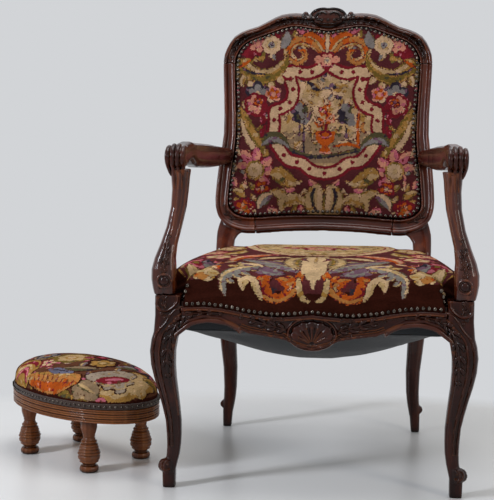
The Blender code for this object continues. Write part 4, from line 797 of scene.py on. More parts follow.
# %% Drawing the seat's ground and band
GREENS = "olive gold straw, moss olive gold, moss smoke straw, olive straw cream"
REDS = "crimson rose salmon, crimson salmon cream, gold orange salmon"
seat_canvas = Canvas(420, -460, 360)
leaves = [
    (x + 6 * math.sin(0.09 * y), y) for x in np.arange(30, 310, 30) for y in np.arange(-235, 210, 32)
    if x > 160 or y < -70
]
seat_canvas.foliage(leaves, 3, GREENS + ", " + REDS)
PALE_MIDDLE = """0 -66, 50 -60, 100 -25, 150 70, 155 140, 115 195, 0 215,
    -115 195, -155 140, -150 70, -100 -25, -50 -60"""
seat_canvas.patch([(0.94 * x, 70 + 0.94 * (y - 70)) for x, y in keys_of(PALE_MIDDLE)], "straw")
seat_canvas.foliage([(x, y) for x in np.arange(12, 120, 26) for y in np.arange(-20, 190, 30)], 5, GREENS)
seat_canvas.chart("""
blossom 0 75 40, 7 .2 | crimson salmon gold cream
blossom 62 85 24, 5 .5 | crimson rose gold cream
""")
band = keys_of("0 -64 9, 45 -58 9, 100 -22 10, 150 70 10, 155 140 10, 115 195 9, 0 215 9")
seat_canvas.stroke(band, "crimson 1.35, cream .85")
seat_canvas.dab([(x, y, 4.0) for x, y, _ in smooth_through(band, 3)], "crimson")
print("the seat's board is", seat_canvas.squares.shape[1], "squares wide")

# %% Drawing the seat's flowers and border
seat_canvas.chart("""
# Orange leaf arcs, roses and bell flowers beside the band
stroke 168 -186 3, 168 -146 13, 148 -106 19, 114 -74 13, 88 -62 3 | crimson 1.1, orange .95, salmon .45 -.4
stroke 118 -150 3, 96 -122 13, 60 -104 4 | straw 1, cream .6
blossom 208 -110 38, 6 .3 | crimson cream gold crimson
blossom 232 -30 44, 6 0 | crimson salmon crimson cream
blossom 248 -180 34, 5 .4 | crimson rose crimson gold
blossom 202 60 38, 5 .9 | gold cream crimson cream
leaf 225 120, 170 216, 20 44 | moss olive gold
leaf 205 -60, 165 20, 12 32 | olive gold straw
leaf 262 -190, 284 -262, -12 34 | olive straw cream
leaf 225 -160, 190 -232, 12 30 | slate lilac smoke
# Wide tan and lilac wings between them and the middle
stroke 152 -150 4, 118 -178 20, 84 -212 26, 54 -246 21, 32 -276 5
    | olive 1.05, straw .92, smoke .5 .4, lilac .32 -.6
leaf 120 -226, 52 -286, 12 34 | lilac lilac smoke
leaf 150 -196, 108 -262, 10 30 | moss lilac straw
stroke 104 -240 3, 122 -222 8, 146 -214 3 | cream 1
# The dark border of the front and the sides
patch -410 -460, 410 -460, 410 -300, 250 -304, 140 -302, 100 -318, 50 -340, -50 -340, -100 -318,
    -140 -302, -250 -304, -410 -300 | border
patch 300 -460, 410 -460, 410 360, 262 360 | border
""")
edge = [(x, -302 + 9 * math.sin(0.097 * x) + 5 * math.sin(0.26 * x), 10) for x in np.arange(90, 300, 7)]
seat_canvas.dab(edge, "border")
print("flowers and a dark border beside the band")

# %% [markdown]
# The front edge is what a visitor sees first, so its palmette, scrolls and leaves have the most
# keys. The finished board goes onto the stuffed seat, and the wool material reads it there.

# %% Drawing the seat's front edge
seat_canvas.chart("""
# Grey leaf with its hanging tip, and the roses beside it
stroke 112 -238 4, 140 -250 13, 163 -268 15, 178 -290 10, 180 -312 6.5, 175 -336 2
    | moss 1.1, smoke .95, straw .36 .5
leaf 172 -288, 156 -306, 3 14 | moss smoke straw
leaf 160 -276, 140 -292, 3 14 | moss smoke straw
leaf 144 -262, 124 -280, 3 14 | moss smoke straw
blossom 216 -276 27, 5 .5 | straw straw straw cream
dab 222 -284 14 | amber
dab 208 -270 11 | straw
leaf 246 -250, 282 -300, -10 30 | olive straw cream
# Orange scrolls, their inner leaves and the tan scrolls outside them
stroke 98 -296 13, 98 -320 12.5, 90 -338 11.5, 73.5 -348 10, 56 -345 10, 41 -332 10.5, 31 -310 9.5,
    23 -280 7, 17.5 -240 3 | crimson 1.08, orange 1, amber .3 .45
stroke 104 -300 2, 100 -326 3.5, 84 -342 2.5, 66 -344 1.5 | crimson 1 .4
leaf 46 -334, 74 -300, 8 26 | crimson orange amber
leaf 40 -316, 52 -290, 4 16 | crimson orange amber
leaf 78 -338, 79 -322, 2 10 | slate slate crimson
stroke 139 -322 3, 141 -302 7.2, 129 -290 7.8, 117 -304 7.5, 109 -328 6, 101 -346 3
    | olive 1.1, straw .95, cream .45 -.4
dab 135 -306 6.5 | straw
# Tan scroll halves with their dark ovals, and the hanging palmette between them
stroke 30 -262 4, 44 -215 17, 46 -165 18, 38 -126 14, 24 -108 4
    | moss 1.08, putty .95, straw .4 -.4, olive .25 .5
patch 0 -88, 25 -100, 27.5 -150, 26 -200, 20 -250, 0 -270, -20 -250, -26 -200, -27.5 -150, -25 -100 | cream
stroke 17.1 -200 6.2, 19 -262 6.2, 19 -284 2 | cream 1
stroke 9 -200 6.2, 10 -272 6.2, 10 -304 2 | cream 1
stroke 0 -200 7, 0 -285 7, 0 -330 2 | cream 1
stroke 5 -150 1.2, 5 -268 2.2 | gold 1
stroke 14.5 -150 1.2, 14.5 -268 2.2 | gold 1
stroke 14 -172 2, 25 -138 6.2, 19 -110 2 | crimson 1, slate .5
stroke 0 -86 2, 0 -150 4.5, 0 -262 1.5 | gold 1, olive .4
stroke 28 -302 4.5, 26.5 -330 6, 19 -350 5, 8 -357 3 | olive 1.1, straw .9
""")
seat_canvas.shaded(31)
covered(seat, seat_canvas, seat_u, seat_v, "chair", YARNS["ground"], (0.97, 0.92, 0.84), "seat_cushion")

# %% [markdown]
# ## The back pad
# The pad is a shallow cushion in the opening of the back frame. It is stuffed in the same way and
# held at its edge. Its canvas lies in the slope of the back, with the foot of the pad at nought.

# %% Back pad
LEAN = math.radians(14.6)
BACK_LEAN = math.tan(LEAN)
BACK_FOOT_Y, BACK_FOOT_Z = 0.243, 0.481
PAD_FOOT = 0.52
pad = merged_copy("back_pad", "back_cover")


def depth_of(points):
    """How far points of the chair lie in front of the back's rear plane."""
    return BACK_FOOT_Y + (points[:, 2] - BACK_FOOT_Z) * BACK_LEAN - points[:, 1]


rear_most = float(depth_of(points_of(pad) - np.array(CHAIR_AT)).min())


def pad_edge(points):
    """The rear face and its rim, which the frame holds."""
    return depth_of(points - np.array(CHAIR_AT)) < rear_most + 6 * MM


stuffed(pad, 0.005, 0.002, 0.006, pad_edge)
at = points_of(pad) - np.array(CHAIR_AT)
pad_u, pad_v = at[:, 0], at[:, 2] + 0.25 * depth_of(at) - PAD_FOOT
print("back pad", len(pad.data.polygons), "faces, height", round(float(np.ptp(pad_v)), 3))

# %% [markdown]
# ### The back's picture
# The middle shows a garden: trees, an orange bush and an urn of flowers on a pale ground. It is the
# one part that isn't the same left and right, so the mirror is off while it is worked.

# %% Drawing the garden
back_canvas = Canvas(300, -40, 500)
leaves = [
    (x + 6 * math.sin(0.08 * y), y) for x in np.arange(20, 240, 28) for y in np.arange(6, 460, 30)
    if x > 135 or y < 95 or y > 375
]
back_canvas.foliage(leaves, 11, GREENS + ", crimson rose salmon")
back_canvas.chart("""
# The garden picture inside the band
patch -82 350, 82 350, 78 262, 112 246, 112 165, 80 135, 30 120, -30 120, -80 135, -112 165, -112 246,
    -78 262 | straw
patch -112 200, 112 192, 105 160, 60 128, -60 128, -105 160 | putty
""")
back_canvas.mirror = False
low_leaves = [(x, y + 4 * math.sin(0.3 * x)) for x in np.arange(-95, 100, 21) for y in (176, 200, 224, 246)]
back_canvas.foliage(low_leaves, 8, "straw gold cream, olive putty straw, smoke putty cream, gold amber straw")
high_leaves = [(x, y) for x in np.arange(-66, 70, 30) for y in (280, 305, 330)]
back_canvas.foliage(high_leaves, 9, "gold amber cream, putty straw cream, steel slate smoke")
top_leaves = [(x + 8 * math.sin(0.7 * y), y) for x in np.arange(-60, 65, 26) for y in (262, 292, 318, 340)]
back_canvas.foliage(top_leaves, 14, "putty gold straw, putty smoke cream, straw cream cream")
for x, y, tall in keys_of("-62 212 50, 50 208 54"):
    for k in range(7):
        tuft = (x + 12 * math.cos(2.4 * k), y + tall * (0.30 + 0.11 * k), 10)
        back_canvas.dab([tuft], ("smoke", "slate", "moss")[k % 3])
    back_canvas.stroke([(x, y - 20, 2.5), (x, y + tall * 0.5, 2)], "slate 1")
back_canvas.chart("""
dab -44 318 5.2, -36 314 5.2, 12 312 5.2, 20 308 5.2, 26 284 5.2 | slate
dab 34 282 5.2, -4 338 5.2 | slate
# An orange tree on the right and an urn of flowers in the middle
stroke 80 160 4, 77 215 3.5, 82 275 3 | orange 1
""")
for k in range(8):
    fruit = (80 + 11 * math.cos(2.2 * k), 262 + 20 * math.sin(1.7 * k), 8)
    back_canvas.dab([fruit], ("gold", "straw", "orange")[k % 3])
back_canvas.chart("""
stroke -50 150 3, -52 200 2.8, -50 264 2 | slate 1
patch -18 150, 18 150, 11 161, 6 165, 22 182, 24 199, 16 203, -16 203, -24 199, -22 182, -6 165, -11 161
    | orange
stroke -18 192 1.5, 0 188 2, 18 192 1.5 | salmon 1
stroke 0 204 3, 4 236 2.6, 0 262 2 | orange 1
blossom -14 222 12, 5 -.7 | orange salmon gold cream
blossom 12 232 13, 5 .6 | orange salmon gold cream
blossom -8 250 11, 5 -.4 | orange salmon gold cream
blossom 4 268 10, 5 .2 | orange salmon gold cream
stroke -85 158 6, -30 142 6, 20 146 5, 85 160 6 | slate 1, moss .5 .3
stroke 20 166 3, 56 172 5, 86 164 3 | gold 1, orange .6
""")
back_canvas.mirror = True
back_canvas.shaded(17)
print("the garden has trees, a bush and an urn")

# %% [markdown]
# ### The back's frame of flowers
# A cream band with red edges and dots runs round the picture. Scrolls and a plume crown it, and
# large leaves, pansies and roses stand on both sides. The flowers are shaded more softly than the
# picture, so they are worked on a clean board and laid over the first one afterwards.

# %% Drawing the band of the back
BACK_BAND = """4 366 10.5, 20 350 10.5, 49 340 10.5, 82 346 10.5, 88 328 10.5, 79 298 10.5, 86 270 10.5, 106 256 10.5,
    124 248 10, 123 216 10, 125 187 10, 108 158 10.5, 86 133 10.5, 54 126 10.5, 29 108 10.5, 0 102 10.5"""
back_canvas.stroke(keys_of(BACK_BAND), "crimson 1.58, cream .9")
back_canvas.chart("""
patch 80 352, 104 360, 102 348, 122 342, 106 330, 84 318 | crimson
patch 80 352, 98 354, 96 344, 112 340, 100 333, 84 328 | cream
dab 36 344 6.2, 64 344 6.2, 87 328 6.2, 80 302 6.2, 87 271 6.2, 110 255 6.2, 123.5 228 6.2, 124 196 6.2,
    98 145 6.2, 66 129 6.2, 36 113 6.2, 0 102 6.2 | crimson
""")
picture = back_canvas.squares.copy()
back_canvas.squares[:] = 0
print("the band closes the picture")

# %% Drawing the crest, the corners and the pansies
back_canvas.chart("""
# Crest: plume, ribbons and the two scrolls
stroke 90 456 2, 56 440 8, 20 430 6, 4 424 3 | crimson 1.1, rose .8
stroke 0 392 11, 0 420 10, 2 450 3 | gold 1.15, orange .9, cream .4
stroke 8 398 6, 22 420 10, 46 432 9, 64 424 3 | gold 1.1, straw .9, orange .5 .3
stroke 20 394 5, 40 412 9, 66 418 11, 88 406 11, 92 384 10, 74 368 8, 56 376 7, 56 392 6, 68 396 3
    | gold 1.16, orange .98, amber .5 .4, straw .25 -.6
blossom 0 372 22, 6 0 | crimson salmon cream smoke
dab 22 374 8 | salmon
dab 22 374 3 | crimson
# Corner flowers
dab 192 384 14, 128 424 12 | crimson
blossom 170 410 28, 5 .6 | crimson salmon rose salmon
blossom 136 408 22, 7 0 | cream straw smoke slate
leaf 112 402, 100 440, 6 26 | moss smoke smoke
# Acanthus crescents with a pale fringe
leaf 214 344, 224 318, 3 19 | olive straw cream
leaf 198 334, 204 306, 3 19 | olive straw cream
leaf 180 324, 182 298, 3 19 | olive straw cream
leaf 158 318, 154 292, 3 19 | olive straw cream
leaf 136 322, 126 300, 3 19 | olive straw cream
leaf 116 336, 102 318, 3 19 | olive straw cream
stroke 224 372 4, 200 354 15, 168 334 17, 132 338 15, 104 362 10, 96 392 3
    | olive 1.1, gold .95, olive .4 .45, straw .25 -.6
stroke 206 352 2.5, 180 340 3, 150 338 2.5 | slate 1
leaf 216 352, 184 372, -4 20 | olive gold orange
# Pansies
blossom 166 290 31, 5 .3 | slate smoke smoke cream
blossom 170 264 30, 6 .3 | crimson salmon salmon cream
blossom 164 270 14, 5 .8 | crimson orange crimson slate
blossom 128 290 20, 5 .1 | salmon orange salmon salmon
stroke 152 262 4, 150 220 7, 154 190 4 | crimson 1
""")
# Feathered leaf
for k in range(7):
    share = k / 6
    x, y = 204 - 62 * share, 250 - 92 * share
    back_canvas.leaf([(x, y), (x - 4 - 16 * (1 - share), y - 30), (2, 17)], "olive gold straw")
print("scrolls, flowers and crescents of acanthus")

# %% Drawing the roses and the foot
back_canvas.chart("""
stroke 208 254 3, 200 222 13, 180 192 16, 160 164 12, 150 142 3 | olive 1.1, gold .9, olive .35 .2
stroke 206 226 3, 192 190 6.5, 172 160 7, 164 142 2 | straw 1, cream .7
stroke 152 168 3, 134 184 13, 112 184 13, 92 170 6, 84 156 2 | moss 1.1, moss .9, smoke .4 .3
# Rose cluster round a yellow heart
leaf 176 120, 204 152, 3 26 | crimson rose salmon
leaf 168 124, 166 162, 3 26 | crimson rose salmon
leaf 156 118, 128 140, 3 26 | crimson rose salmon
leaf 152 106, 122 112, 3 24 | crimson rose salmon
leaf 154 96, 130 72, 3 26 | crimson rose salmon
leaf 182 112, 214 114, 3 22 | crimson rose salmon
blossom 166 108 24, 7 0 | gold cream straw gold
blossom 148 66 20, 5 .7 | crimson orange salmon cream
stroke 190 98 2, 190 66 3 | salmon 1
leaf 204 140, 214 176, -6 18 | crimson salmon cream
# Golden blossom, the drops, dull leaves and the foot's flowers
stroke 128 98 3, 110 100 16, 90 86 16, 68 78 7, 52 84 2 | olive 1.1, gold .95, straw .4 .3
dab 100 86 7 | olive
stroke 100 16 6, 92 36 16, 66 40 14, 50 34 8 | olive 1.05, straw .9, gold .35 .4
leaf 86 34, 130 60, 6 24 | olive straw straw
""")
for grow, yarn in ((0, "olive"), (3, "straw")):
    back_canvas.patch(smooth_through([
        (1 + grow, -12), (1 + grow, 58 - grow), (10, 76 - grow), (28, 75 - grow), (43 - grow, 56),
        (46 - grow, 28), (36 - grow, -12),
    ], 5), yarn)
back_canvas.chart("""
stroke 12 64 3, 10 40 5, 10 10 4 | cream 1
stroke 22 66 3, 28 50 5.5, 26 32 4.5, 18 10 3 | moss 1, slate .5
leaf 122 50, 156 14, 8 28 | moss smoke cream
blossom 190 18 26, 5 .4 | crimson orange gold orange
leaf 188 40, 222 56, 6 18 | olive gold straw
""")
back_canvas.shaded(23, 1.15)
back_canvas.squares = np.where(back_canvas.squares > 0, back_canvas.squares, picture)
# The back's factor is darker than the seat's and the stool's: painted shade on the back
covered(pad, back_canvas, pad_u, pad_v, "chair", YARNS["ground"], (0.77, 0.69, 0.68), "back_pad")

# %% [markdown]
# ## The stool's top
# A domed oval pad. Its canvas lies flat on top and runs on outwards down the sides. The design has
# no two halves alike: a large golden flower, a ribbed wing, leaves and smaller flowers.

# %% Stool top
EDGE_HEIGHT = 0.016
stool_low, stool_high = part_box("stool_cushion")
top = merged_copy("stool_cushion", "stool_cover")
stuffed(top, 0.005, 0.003, 0.006, lambda p: p[:, 2] < stool_low.z + EDGE_HEIGHT)
to_stool = ON_STOOL.inverted()
at = points_of(top) @ np.array(to_stool.to_3x3()).T + np.array(to_stool.translation)
reach = np.hypot(at[:, 0], at[:, 1])
fall = np.maximum(0, stool_high.z - at[:, 2])
top_u, top_v = (at[:, axis] * (1 + fall / np.maximum(reach, 0.02)) for axis in (0, 1))
print("stool top", len(top.data.polygons), "faces")

# %% Drawing the stool's flower
stool_canvas = Canvas(300, -220, 220, mirror=False)
leaves = [(x, y + 10 * math.sin(0.05 * x)) for x in np.arange(-230, 240, 40) for y in np.arange(-160, 170, 36)]
stool_canvas.foliage(leaves, 21, "slate olive gold, slate crimson rose, slate smoke straw")
stool_canvas.chart("""
# Tan petals, the grey ruffle in them and the red heart
shape 150 -84, 172 -102, 192 -106, 204 -94, 224 -92, 232 -72, 248 -58, 245 -34, 256 -12, 244 10, 240 36,
    216 40, 190 44, 150 6 | gold border
shape 160 -90, 184 -97, 200 -86, 220 -78, 228 -56, 238 -30, 236 2, 220 24, 190 30, 160 0 | straw gold
shape 100 -78, 112 -44, 134 -12, 160 8, 182 6, 190 -12, 206 -18, 206 -38, 219 -50, 211 -68, 194 -68,
    182 -84, 160 -82, 126 -88 | stone border
""")
ruffle = keys_of("184 6, 190 -12, 207 -18, 206 -38, 220 -50, 211 -69, 194 -69, 182 -85, 160 -83, 146 -94")
stool_canvas.stroke([(x, y, 2.4) for x, y in ruffle], "border 1")
stool_canvas.stroke([(x * 0.945, y * 0.90, 2.6) for x, y in ruffle], "straw 1")
stool_canvas.chart("""
stroke 144 -72 9, 165 -49 16.5, 183 -26 9 | putty 1.12, crimson 1
stroke 156 -60 3, 168 -46 5, 178 -34 3 | rose 1 .6
# Tan leaf between the flower and the wing, with dull leaves at the edge
shape 95 -111, 122 -88, 158 -88, 184 -104, 178 -120, 152 -134, 126 -143, 105 -130 | putty border
stroke 102 -112 3, 134 -112 8, 168 -106 3 | straw 1, moss .4 -.5
leaf 70 -168, 118 -150, 6 26 | border moss olive
leaf 126 -152, 176 -126, 4 22 | border olive putty
leaf 188 -116, 214 -100, 4 18 | border crimson rose
# Ribbed orange wing with a gold upper edge
shape -74 -124, -30 -117, 16 -107, 50 -96, 82 -83, 103 -104, 99 -124, 82 -146, 59 -164, 10 -172,
    -44 -164, -78 -146 | amber border
stroke -60 -150 8, 0 -156 12, 50 -146 13, 86 -124 7 | orange 1
stroke -64 -124 4, -20 -120 9, 30 -110 10, 70 -96 8, 90 -100 3 | amber 1, gold .5 .3
""")
for k in range(9):
    x, y = -58 + 17.5 * k, -124 + 2.8 * k
    stool_canvas.stroke([(x, y, 1), (x + 10, y - 18, 2.1), (x + 4, y - 36, 1)], "crimson 1")
    stool_canvas.stroke([(x + 8, y - 6, 1), (x + 16, y - 22, 2)], "gold 1")
print("a golden flower and a ribbed wing")

# %% [markdown]
# The rest of the stool's flowers are smaller. Its edge is one dark line of round spots, where the
# cover turns down to the nails.

# %% Drawing the stool's leaves and edge
stool_canvas.chart("""
# Gold leaf with crimson streaks
shape -192 -96, -158 -68, -112 -60, -78 -68, -60 -92, -74 -116, -80 -146, -112 -158, -162 -138 | gold border
stroke -168 -122 4, -132 -104 11, -104 -112 10, -94 -146 4 | crimson 1, rose .4 .4
stroke -160 -84 3, -120 -74 6, -86 -80 6, -74 -96 2 | crimson 1
stroke -150 -94 2, -110 -88 4, -86 -104 2 | straw 1
# Slate-blue leaf and the dull green one beyond it
shape -22 -100, 8 -82, 40 -76, 62 -86, 40 -100, 10 -110 | steel border
stroke -10 -99 2, 18 -92 4, 48 -88 2 | slate 1
leaf 20 -78, 100 -30, -6 34 | border moss putty
# Smaller flowers towards the top
blossom -48 -68 28, 5 .5 | crimson cream rose slate
blossom -27 -13 46, 7 0 | olive straw gold cream
blossom 66 -2 40, 6 .2 | border gold olive straw
dab 2 14 12 | crimson
blossom 18 40 24, 5 .5 | border crimson crimson rose
leaf 110 0, 160 50, 8 34 | border moss smoke
leaf -80 -46, -140 -36, 6 30 | border moss putty
blossom 196 66 26, 6 .1 | slate rose crimson straw
# The half that faces away
blossom -150 36 60, 8 .1 | slate salmon crimson cream
blossom -108 -22 32, 5 .6 | slate smoke gold crimson
blossom 30 100 50, 7 .3 | slate gold crimson rose
blossom 142 78 44, 5 0 | slate rose salmon cream
leaf -100 76, -26 106, 14 44 | slate olive straw
leaf 78 60, 112 120, -10 36 | slate smoke cream
leaf -205 20, -240 -40, 10 38 | slate moss straw
leaf 196 16, 240 50, 10 34 | slate olive gold
""")
stool_canvas.shaded(41, 1.45)
turns = [2 * math.pi * k / 160 for k in range(160)]
stool_canvas.dab([(268 * math.cos(turn), 182 * math.sin(turn), 11) for turn in turns], "border")
covered(top, stool_canvas, top_u, top_v, "footstool", 0x633F2D, (1.0, 0.92, 0.88), "stool_cushion")

# %% [markdown]
# ## Laying carving on the wood
# A carver cuts a leaf out of the solid, but here each one is laid on. A line on the wood becomes a
# thin round rod: every point looks for the surface behind it and sinks a little into it. Scrolls,
# ribs and beads are single rods, and a leaf is a spray of short ones that swell and curl. Cutting
# into the mesh would be truer, but rods stay easy to move until the whole looks right.

# %% Looking for the surface
FRONT = (Vector((0, -1, 0)), Vector((1, 0, 0)), Vector((0, 0, 1)), Vector((0, 1, 0)))
SIDES = ((-1, "left"), (1, "right"))


def from_side(side):
    """Looking at the chair's side from outside: along is Y, up is Z."""
    return Vector((side, 0, 0)), Vector((0, 1, 0)), Vector((0, 0, 1)), Vector((-side, 0, 0))


def skin_of(*pieces):
    """The surface of some pieces, for looking up points on it."""
    points, faces = [], []
    for piece in pieces:
        first = len(points)
        points += [v.co.copy() for v in piece.data.vertices]
        faces += [[first + i for i in p.vertices] for p in piece.data.polygons]
    return BVHTree.FromPolygons(points, faces)


def skin(*names):
    """The surface of some CAD pieces, by their names."""
    return skin_of(*[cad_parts[name] for name in names])


def touch(surface, view, across, up, lost=None):
    """The surface point and normal at a place in the view, in chair coordinates."""
    origin, side, rise, aim = view
    hit, normal, _, _ = surface.ray_cast(CHAIR_AT + origin + side * across + rise * up, aim)
    if hit is None:
        return lost
    return hit, (normal if normal.dot(aim) < 0 else -normal)


def mirrored(side, table):
    """A carver's table for one side of the chair: across, up and size, written in millimetres."""
    return [(side * x * MM, z * MM, size * MM) for x, z, size in keys_of(table)]


print("looking at the chair from the front and from its sides")

# %% Rods and leaves
LEAFLET = ((0, 0, 0.35), (0.40, 0.30, 0.85), (0.74, 0.85, 1.0), (0.86, 1.45, 0.72), (0.70, 2.00, 0.15))
THINNEST = 0.0006


def rods(name, runs, sides=1):
    """Round rods along runs of (point, radius)."""
    curve = bpy.data.curves.new(name, "CURVE")
    curve.dimensions, curve.bevel_depth, curve.bevel_resolution, curve.use_fill_caps = "3D", 1.0, sides, True
    for run in runs:
        line = curve.splines.new("POLY")
        line.points.add(len(run) - 1)
        for knot, (point, radius) in zip(line.points, run):
            knot.co, knot.radius = (*point, 1), radius
    piece = bpy.data.objects.new(name, curve)
    bpy.context.scene.collection.objects.link(piece)
    alone(piece)
    bpy.ops.object.convert(target="MESH")
    return bpy.context.object


def beads(name, runs, material, sides=1):
    """Rods on the chair that stay a piece of their own."""
    piece = finished(rods(name, runs, sides), "chair", material)
    print(name, "from", len(runs), "rods")
    return piece


def line_on(surface, keys, steps=6, proud=0.25):
    """A rod's run on the front. Keys: across, up, radius. Proud: how far its middle stands off."""
    run, last = [], None
    for across, up, radius in smooth_through(keys, steps):
        last = touch(surface, FRONT, across, up, last)
        if last:
            run.append((last[0] + last[1] * radius * proud, radius))
    return run


def spray(surface, keys, pairs, thick):
    """Pairs of leaflets along (across, up, reach) keys, tapered rods that curl on from their stem."""
    line = smooth_through(keys, 12)
    stem = [(a, b, max(THINNEST, thick * 0.6 * min(1, reach / 0.004))) for a, b, reach in keys]
    runs = [line_on(surface, stem, 5, 0.3)]
    for k in range(pairs):
        i = int((k + 0.4) / pairs * (len(line) - 1))
        a, b, reach = line[i]
        ahead, behind = line[min(i + 2, len(line) - 1)], line[max(i - 2, 0)]
        run = math.hypot(ahead[0] - behind[0], ahead[1] - behind[1]) or 1
        ux, uy = (ahead[0] - behind[0]) / run, (ahead[1] - behind[1]) / run
        fat = thick * min(1, 0.35 + 0.65 * reach / 0.009)
        for hand in (-1, 1):
            nx, ny = -uy * hand, ux * hand
            leaflet = [
                (a + reach * (nx * out + ux * on), b + reach * (ny * out + uy * on), fat * full)
                for out, on, full in LEAFLET
            ]
            runs.append(line_on(surface, leaflet, 2, 0.12))
    return runs


print("a leaflet is a rod through", len(LEAFLET), "keys")

# %% [markdown]
# ### Worn wood and rows of copies
# Under the carving each wooden piece is replaced by a finer copy of itself with eased edges, as
# long use leaves them. Nails and pearls are modelled once. Their copies are set at points of the
# surface, turned outwards, and spaced evenly where they stand in a row.

# %% Copies
def carved(node_name, material, voxel=0.0018, ease=4, body="chair"):
    """A finer copy of a CAD piece with its edges eased as by long use."""
    block = merged_copy(node_name, node_name + "_carved")
    with_modifier(block, "REMESH", mode="VOXEL", voxel_size=voxel)
    with_modifier(block, "SMOOTH", factor=0.5, iterations=ease)
    finished(block, body, material, 180)
    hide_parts(node_name)
    print(node_name, len(block.data.polygons), "faces")
    return block


def copies(name, pattern, places, material, body="chair"):
    """Copies of a small pattern, each at a point, turned to its normal and sized."""
    made = []
    for point, normal, size in places:
        one = pattern.copy()
        one.data = pattern.data.copy()
        bpy.context.scene.collection.objects.link(one)
        turn = normal.to_track_quat("Z", "Y").to_matrix().to_4x4()
        one.matrix_world = Matrix.Translation(point) @ turn @ Matrix.Scale(size, 4)
        made.append(one)
    print(name, "from", len(made), "copies")
    return finished(joined(made, name), body, material, 50)


def evenly(points, pitch):
    """Points at an even pitch along a run of points."""
    lengths = [0]
    for a, b in zip(points, points[1:]):
        lengths.append(lengths[-1] + (b - a).length)
    count = max(1, round(lengths[-1] / pitch))
    spots, i = [], 0
    for k in range(count + 1):
        goal = lengths[-1] * k / count
        while i < len(lengths) - 2 and lengths[i + 1] < goal:
            i += 1
        share = (goal - lengths[i]) / max(lengths[i + 1] - lengths[i], 1e-9)
        spots.append(points[i].lerp(points[i + 1], min(max(share, 0), 1)))
    return spots


print("copies are turned to the surface")

# %% [markdown]
# ## Nails
# Each nail is a small dome, about eight millimetres across. One is turned from half a ball, and all
# the others are copies of it, in rows where they almost touch.

# %% One nail
NAIL_WIDTH = 0.0084
NAIL_PITCH = 0.0115
bpy.ops.object.select_all(action="DESELECT")
bpy.ops.mesh.primitive_uv_sphere_add(segments=9, ring_count=6, radius=1)
dome = bpy.context.object
dome.name = "nail"
in_edit_mode(
    dome,
    (bpy.ops.mesh.bisect, {"plane_co": (0, 0, 0.02), "plane_no": (0, 0, 1), "use_fill": True, "clear_inner": True}),
    (bpy.ops.transform.resize, {"value": (0.5, 0.5, 0.36)}),
)
bpy.ops.object.transform_apply(location=True, rotation=True, scale=True)
print("a nail has", len(dome.data.polygons), "faces")

# %% [markdown]
# The seat's nails follow the ledge of the front rail, which is wavy, and run level along the sides.
# Two tables give the heights of the ledge and of the rail's lower edge, from the middle outwards.

# %% Rows of nails on the seat
RAIL_X = (0, 0.026, 0.052, 0.084, 0.126, 0.157, 0.181, 0.218, 0.246, 0.262)
LEDGE = (0.365, 0.362, 0.360, 0.359, 0.3625, 0.368, 0.372, 0.375, 0.374, 0.3725)
LOWER_EDGE = (0.294, 0.301, 0.313, 0.318, 0.323, 0.335, 0.347, 0.351, 0.342, 0.330)
NAILS_UP = 6.5 * MM
SIDE_ROW = 0.3795


def along_rail(heights, x):
    """A height of the front rail at a place across."""
    return float(np.interp(abs(x), RAIL_X, heights))


seat_skin = skin_of(seat)
hem = [Vector((x, 0, along_rail(LEDGE, x) + NAILS_UP)) for x in np.linspace(-0.250, 0.250, 101)]
spots = [touch(seat_skin, FRONT, p.x, p.z) for p in evenly(hem, NAIL_PITCH)]
for side, _ in SIDES:
    for x, z in ((0.2550, 0.3915), (0.2530, 0.4032), (0.2495, 0.4147)):
        spots.append(touch(seat_skin, FRONT, side * x, z))
    spots += [touch(seat_skin, from_side(side), y, SIDE_ROW) for y in np.linspace(-0.224, 0.180, 35)]
copies("seat_nails", dome, [(*spot, NAIL_WIDTH) for spot in filter(None, spots)], BRASS)

# %% [markdown]
# On the back and on the stool the nails close a ring. Rays that run inwards from all round find the
# edge of the pad or the band, and the nails are spaced evenly along what they find.

# %% Nails round the back and the stool
RIM_INSET = 6.2 * MM
BACK_MIDDLE_Z = 0.745
BAND_HEIGHT = 0.1478
UPWARD = Vector((0, math.sin(LEAN), math.cos(LEAN)))
OUTWARD = Vector((0, -math.cos(LEAN), math.sin(LEAN)))


def ring_round(surface, heart, side, rise):
    """Where rays from all round, one for each degree, meet a surface on their way to the heart."""
    found = []
    for degree in range(361):
        ray = side * math.cos(math.radians(degree)) + rise * math.sin(math.radians(degree))
        found.append(surface.ray_cast(heart + ray * 0.5, -ray)[0])
    return [hit for hit in found if hit]


middle_y = BACK_FOOT_Y + (BACK_MIDDLE_Z - BACK_FOOT_Z) * BACK_LEAN
heart = CHAIR_AT + Vector((0, middle_y, BACK_MIDDLE_Z)) + OUTWARD * (rear_most + 2 * MM)
edge = ring_round(skin("back_pad"), heart, Vector((1, 0, 0)), UPWARD)
inside = [p + (heart - p).normalized() * RIM_INSET for p in edge]
back_skin = skin_of(pad)
spots = []
for p in evenly(inside, NAIL_PITCH)[:-1]:
    hit, normal, _, _ = back_skin.ray_cast(p + OUTWARD * 0.1, -OUTWARD)
    if hit:
        spots.append((hit, (normal + OUTWARD).normalized(), NAIL_WIDTH))
copies("back_nails", dome, spots, BRASS)

heart = STOOL_AT + Vector((0, 0, BAND_HEIGHT))
LONG_WAY, SHORT_WAY = (ON_STOOL.to_3x3() @ Vector(axis) for axis in ((1, 0, 0), (0, 1, 0)))
ring = ring_round(skin("stool_gimp"), heart, LONG_WAY, SHORT_WAY)
spots = [(p, (p - heart).normalized(), 0.7 * NAIL_WIDTH) for p in evenly(ring, NAIL_PITCH)[:-1]]
copies("stool_nails", dome, spots, BRASS, "footstool")
bpy.data.objects.remove(dome)

# %% [markdown]
# ## Carving on the front rail
# A scallop shell stands in the middle of the rail. Leaf sprays run out from it, one bead follows
# the ledge above them and three follow the lower edge. From the arches under the rail a strong bead
# runs on down the inner edge of each leg. The legs taper and bend, so where a line follows one, the
# leg's middle and width are read at each height.

